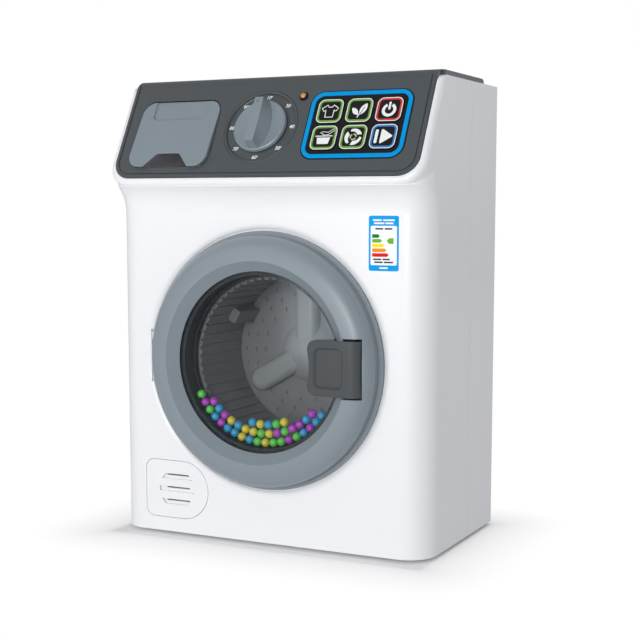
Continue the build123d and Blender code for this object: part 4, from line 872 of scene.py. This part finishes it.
@dataclass
class RatingLabel:
    """The printed rating label: a blue border, a white field and five pointed bars."""

    border: float = 1.2
    border_corner: float = 1.2
    sheet_corner: float = 0.9
    top_band: float = 5.9
    foot_band: float = 3.4
    bar_left: float = -7.4
    bar_height: float = 2.1
    bar_pitch: float = 2.75
    bar_lengths: tuple[float, ...] = (4.9, 6.3, 7.7, 9.1, 10.6)
    bars_top: float = 4.25
    bar_inks: tuple[Finish, ...] = (
        BAR_DARK_GREEN, BAR_GREEN, BAR_YELLOW, BAR_ORANGE, BAR_RED,
    )
    # the tag that points at the second bar: its left and right end and its height
    tag: Triple = (1.8, 6.2, 3.3)
    # plain rows in the place of words: the height on the label, then each dash's two ends
    dark_rows: tuple[tuple[float, ...], ...] = (
        (8.5, -5.4, -0.4, 0.6, 5.4), (-9.3, -6.8, -1.6, -0.8, 3.9), (-11.0, -6.0, -0.6, 0.2, 6.0),
    )
    pale_rows: tuple[tuple[float, ...], ...] = (
        (13.5, -6.9, -1.4, -0.4, 6.9), (11.7, -6.2, 0.4, 1.2, 6.2), (-14.3, -2.6, 2.6),
    )
    row_height: float = 0.95
    dash_corner: float = 0.2

    def pointed(self, left: float, right: float, middle: float, height: float) -> Loop:
        """A bar with a point at its right end.

        Args:
            left: where it starts.
            right: where its point is.
            middle: the height of its middle line.
            height: how high the bar is.

        Returns:
            The closed outline as points.
        """
        half = height / 2
        return [
            (left, middle + half), (right - half, middle + half), (right, middle),
            (right - half, middle - half), (left, middle - half),
        ]

    def row(self, spans: tuple[float, ...]) -> list[Loop]:
        """One row of dashes.

        Args:
            spans: the row's height on the label, then each dash's two ends.

        Returns:
            The dashes, one loop each.
        """
        middle, *ends = spans
        return [
            rounded(
                right - left, self.row_height, self.dash_corner, ((left + right) / 2, middle)
            )
            for left, right in zip(ends[::2], ends[1::2])
        ]

    def face(self) -> tuple[Face, float, float]:
        """The label's face.

        Returns:
            The face with its origin in the middle, and its full width and height.
        """
        low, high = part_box("energy_label")
        centre = Vector(((low.x + high.x) / 2, low.y, (low.z + high.z) / 2))
        face = Face(centre, Vector((1, 0, 0)), Vector((0, 0, 1)))
        return face, (high.x - low.x) / MM, (high.z - low.z) / MM

    def build(self) -> None:
        """Print the label's border, bars, tag and rows of dashes."""
        face, width, height = self.face()
        sheet = rounded(
            width - 2 * self.border, height - self.top_band - self.foot_band,
            self.sheet_corner, (0, (self.foot_band - self.top_band) / 2),
        )
        border = [rounded(width, height, self.border_corner), sheet]
        ink("label_border", border, face, (0, 0), LABEL_BLUE, "case")
        for number, (length, colour) in enumerate(zip(self.bar_lengths, self.bar_inks)):
            middle = self.bars_top - number * self.bar_pitch
            bar = self.pointed(self.bar_left, self.bar_left + length, middle, self.bar_height)
            ink(f"label_bar_{number + 1}", [bar], face, (0, 0), colour, "case")
        left, right, tall = self.tag
        second = self.bars_top - self.bar_pitch
        tag = [(-x, y) for x, y in self.pointed(-right, -left, second, tall)]
        ink("label_tag", [tag], face, (0, 0), BAR_GREEN, "case")
        rows = [(LABEL_BLACK, spans, 0) for spans in self.dark_rows]
        rows += [(WHITE_INK, spans, 1) for spans in self.pale_rows]
        for colour, spans, layer in rows:
            name = f"label_row_{spans[0]:.0f}"
            ink(name, self.row(spans), face, (0, 0), colour, "case", layer)
        LOG.info("rating label with %d bars", len(self.bar_lengths))


def facing(eye: Vector, target: Vector) -> Matrix:
    """The matrix of a lamp or a camera that stands at one point and faces another.

    Args:
        eye: where it stands, in metres.
        target: what it faces, in metres.

    Returns:
        Its place and turn.
    """
    turn = (target - eye).to_track_quat("-Z", "Y").to_matrix().to_4x4()
    return Matrix.Translation(eye) @ turn


@dataclass(frozen=True)
class SoftBox:
    """A square soft lamp, with its place and side in metres and its power in watts."""

    name: str
    place: Triple
    side: float
    power: float

    def hang(self, target: Vector) -> None:
        """Add the lamp to the scene.

        Args:
            target: what it faces, in metres.
        """
        data = bpy.data.lights.new(self.name, "AREA")
        data.size = self.side
        data.energy = self.power
        lamp = bpy.data.objects.new(self.name, data)
        bpy.context.scene.collection.objects.link(lamp)
        lamp.matrix_world = facing(Vector(self.place), target)


@dataclass
class Studio:
    """White floor, soft light and the camera of the photograph."""

    # the camera as it was fitted to the photograph: places in millimetres, roll in degrees
    camera_at: Triple = (390.4, -759.9, 211.3)
    target: Triple = (47.34, -50.95, 119.04)
    focal_px: float = 1322.76
    centre_px: Point = (332.76, 360.86)
    image_px: int = 634
    sensor: float = 36.0
    roll: float = 0.07
    # the rest of the studio is in metres
    near_clip: float = 0.01
    daylight: float = 0.44
    floor_side: float = 30.0
    # how far from the machine's foot the shadow shows on the paper, and how it fades
    shadow_reach: float = 0.05
    shadow_fade: float = 0.3
    lamps_face: Triple = (0.0, 0.0, 0.14)
    lamps: tuple[SoftBox, ...] = (
        SoftBox("key_light", (-1.25, -1.7, 1.1), 1.1, 4.0),
        # its mirror image is the soft pale patch on the door's glass
        SoftBox("window_light", (-0.15, -0.65, 0.16), 0.2, 0.4),
        SoftBox("front_light", (0.3, -2.1, 0.5), 0.6, 17.0),
        SoftBox("side_fill", (1.3, 1.5, 0.8), 1.2, 4.5),
    )

    def camera(self) -> None:
        """Create the camera where the photograph was taken from."""
        data = bpy.data.cameras.new("camera")
        data.sensor_width = self.sensor
        data.lens = self.focal_px / self.image_px * self.sensor
        data.shift_x = (self.image_px / 2 - self.centre_px[0]) / self.image_px
        data.shift_y = (self.centre_px[1] - self.image_px / 2) / self.image_px
        data.clip_start = self.near_clip
        camera = bpy.data.objects.new("camera", data)
        bpy.context.scene.collection.objects.link(camera)
        stand = facing(Vector(self.camera_at) * MM, Vector(self.target) * MM)
        camera.matrix_world = stand @ Matrix.Rotation(radians(self.roll), 4, "Z")
        bpy.context.scene.camera = camera

    def world(self) -> None:
        """Give even daylight, and plain white where the background is seen."""
        world = bpy.data.worlds.new("studio")
        bpy.context.scene.world = world
        world.use_nodes = True
        tree = world.node_tree
        tree.nodes.clear()
        rays = add_node(tree, "ShaderNodeLightPath")
        light = add_node(
            tree, "ShaderNodeBackground", {"Color": linear("F4F6FA"), "Strength": self.daylight}
        )
        white = add_node(tree, "ShaderNodeBackground", {"Color": linear("FFFFFF"), "Strength": 1.0})
        seen = mix_shaders(
            tree, rays.outputs["Is Camera Ray"], light.outputs["Background"],
            white.outputs["Background"],
        )
        add_node(tree, "ShaderNodeOutputWorld", Surface=seen)

    def from_footprint(self, tree: bpy.types.NodeTree) -> bpy.types.NodeSocket:
        """Add the nodes that measure how far a point of the floor is from the machine's foot.

        Args:
            tree: the floor's node tree.

        Returns:
            The distance from the footprint's rectangle, in metres, and 0 inside it.
        """
        corner, far_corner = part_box("front_shell")[0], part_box("rear_shell")[1]
        middle = Vector((0, (corner.y + far_corner.y) / 2, 0))
        half = Vector((far_corner.x, (far_corner.y - corner.y) / 2, 0))
        nothing = Vector((0, 0, 0))
        spot = add_node(tree, "ShaderNodeTexCoord").outputs["Object"]
        for operation, amount in (
            ("SUBTRACT", middle), ("ABSOLUTE", nothing), ("SUBTRACT", half), ("MAXIMUM", nothing),
        ):
            step = add_node(tree, "ShaderNodeVectorMath", {"operation": operation}, Vector=spot)
            step.inputs[1].default_value = amount
            spot = step.outputs["Vector"]
        length = add_node(tree, "ShaderNodeVectorMath", {"operation": "LENGTH"}, Vector=spot)
        return length.outputs["Value"]

    def floor_material(self) -> bpy.types.Material:
        """White paper that keeps the shadow at the machine's foot and is plain white beyond.

        Returns:
            A node material: paper, and for what the camera sees away from the foot, plain white.
        """
        material, tree = blank_material("studio_paper")
        paper = add_node(tree, "ShaderNodeBsdfDiffuse", {"Color": linear("FFFFFF")})
        white = add_node(tree, "ShaderNodeEmission", {"Color": linear("FFFFFF"), "Strength": 1.0})
        rays = add_node(tree, "ShaderNodeLightPath")
        beyond = add_node(
            tree, "ShaderNodeMapRange", {"From Max": self.shadow_reach},
            Value=self.from_footprint(tree),
        )
        fade = add_node(tree, "ShaderNodeMath", {"operation": "POWER"})
        tree.links.new(beyond.outputs["Result"], fade.inputs[0])
        fade.inputs[1].default_value = self.shadow_fade
        share = add_node(tree, "ShaderNodeMath", {"operation": "MULTIPLY"})
        tree.links.new(fade.outputs["Value"], share.inputs[0])
        tree.links.new(rays.outputs["Is Camera Ray"], share.inputs[1])
        surface = mix_shaders(
            tree, share.outputs["Value"], paper.outputs["BSDF"], white.outputs["Emission"]
        )
        add_node(tree, "ShaderNodeOutputMaterial", Surface=surface)
        return material

    def floor(self) -> None:
        """Lay a wide white floor under the feet."""
        bpy.ops.mesh.primitive_plane_add(size=self.floor_side, location=(0, 0, 0))
        floor = bpy.context.active_object
        floor.name = "studio_floor"
        floor.data.materials.append(self.floor_material())

    def build(self) -> None:
        """Set the studio up."""
        self.world()
        self.floor()
        for lamp in self.lamps:
            lamp.hang(Vector(self.lamps_face))
        self.camera()
        LOG.info("studio with %d lamps", len(self.lamps))


def dress_cad() -> None:
    """Give every CAD piece the finish of its slot."""
    for row in frame["record"]["subparts"]:
        finish = NODE_FINISHES.get(row["node"], SLOT_FINISHES[row["material_slot"]])
        PAINT.dress(frame["nodes"][row["node"]], finish)
        LOG.info("%s in %s", row["node"], finish.name)


def spray(
    node: str, through: Vector, along: Vector, radius: float, finish: Finish,
    outside: bool = False,
) -> None:
    """Colour the faces of a piece that are near an axis, over the finish that it has.

    Args:
        node: the CAD piece.
        through: a point on the axis.
        along: the axis's direction, of length 1.
        radius: faces whose middle is closer to the axis than this take the colour.
        finish: the colour.
        outside: colour the faces farther from the axis instead.
    """
    piece = frame["nodes"][node]
    piece.data.materials.append(PAINT.material(finish))
    sprayed = len(piece.data.materials) - 1
    for polygon in piece.data.polygons:
        arm = piece.matrix_world @ polygon.center - through
        distance = (arm - along * arm.dot(along)).length
        if (distance < radius * MM) != outside:
            polygon.material_index = sprayed
    LOG.info("%s sprayed in %s", node, finish.name)


def spray_details(panel: ControlPanel) -> None:
    """Paint near-black shade on the tube of the door's back and on the rim of the indicator.

    Args:
        panel: the panel that the indicator is in.
    """
    low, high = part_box("drum")
    # painted shade: the door's back near-black where the gap round the drum lies in shade
    spray("door_back", (low + high) / 2, Vector((0, 1, 0)), DOOR_SHADE_RADIUS, PAINTED_SHADE_BLACK)
    face = panel.face(0.0)
    middle = face.matrix(panel.indicator_at).to_translation()
    out = face.right.cross(face.up)
    # painted shade: the lens's rim near-black where it meets the panel
    spray("indicator_lens", middle, out, LENS_SHADE_RADIUS, PAINTED_SHADE_BLACK, outside=True)


def main() -> None:
    """Build and dress everything in order."""
    logging.basicConfig(level=logging.INFO, format="%(message)s")
    bpy.context.scene.view_settings.view_transform = "Standard"
    dress_cad()
    panel = ControlPanel()
    spray_details(panel)
    panel.build()
    Keypad(panel).build()
    RatingLabel().build()
    Studio().build()


if __name__ == "__main__":
    main()
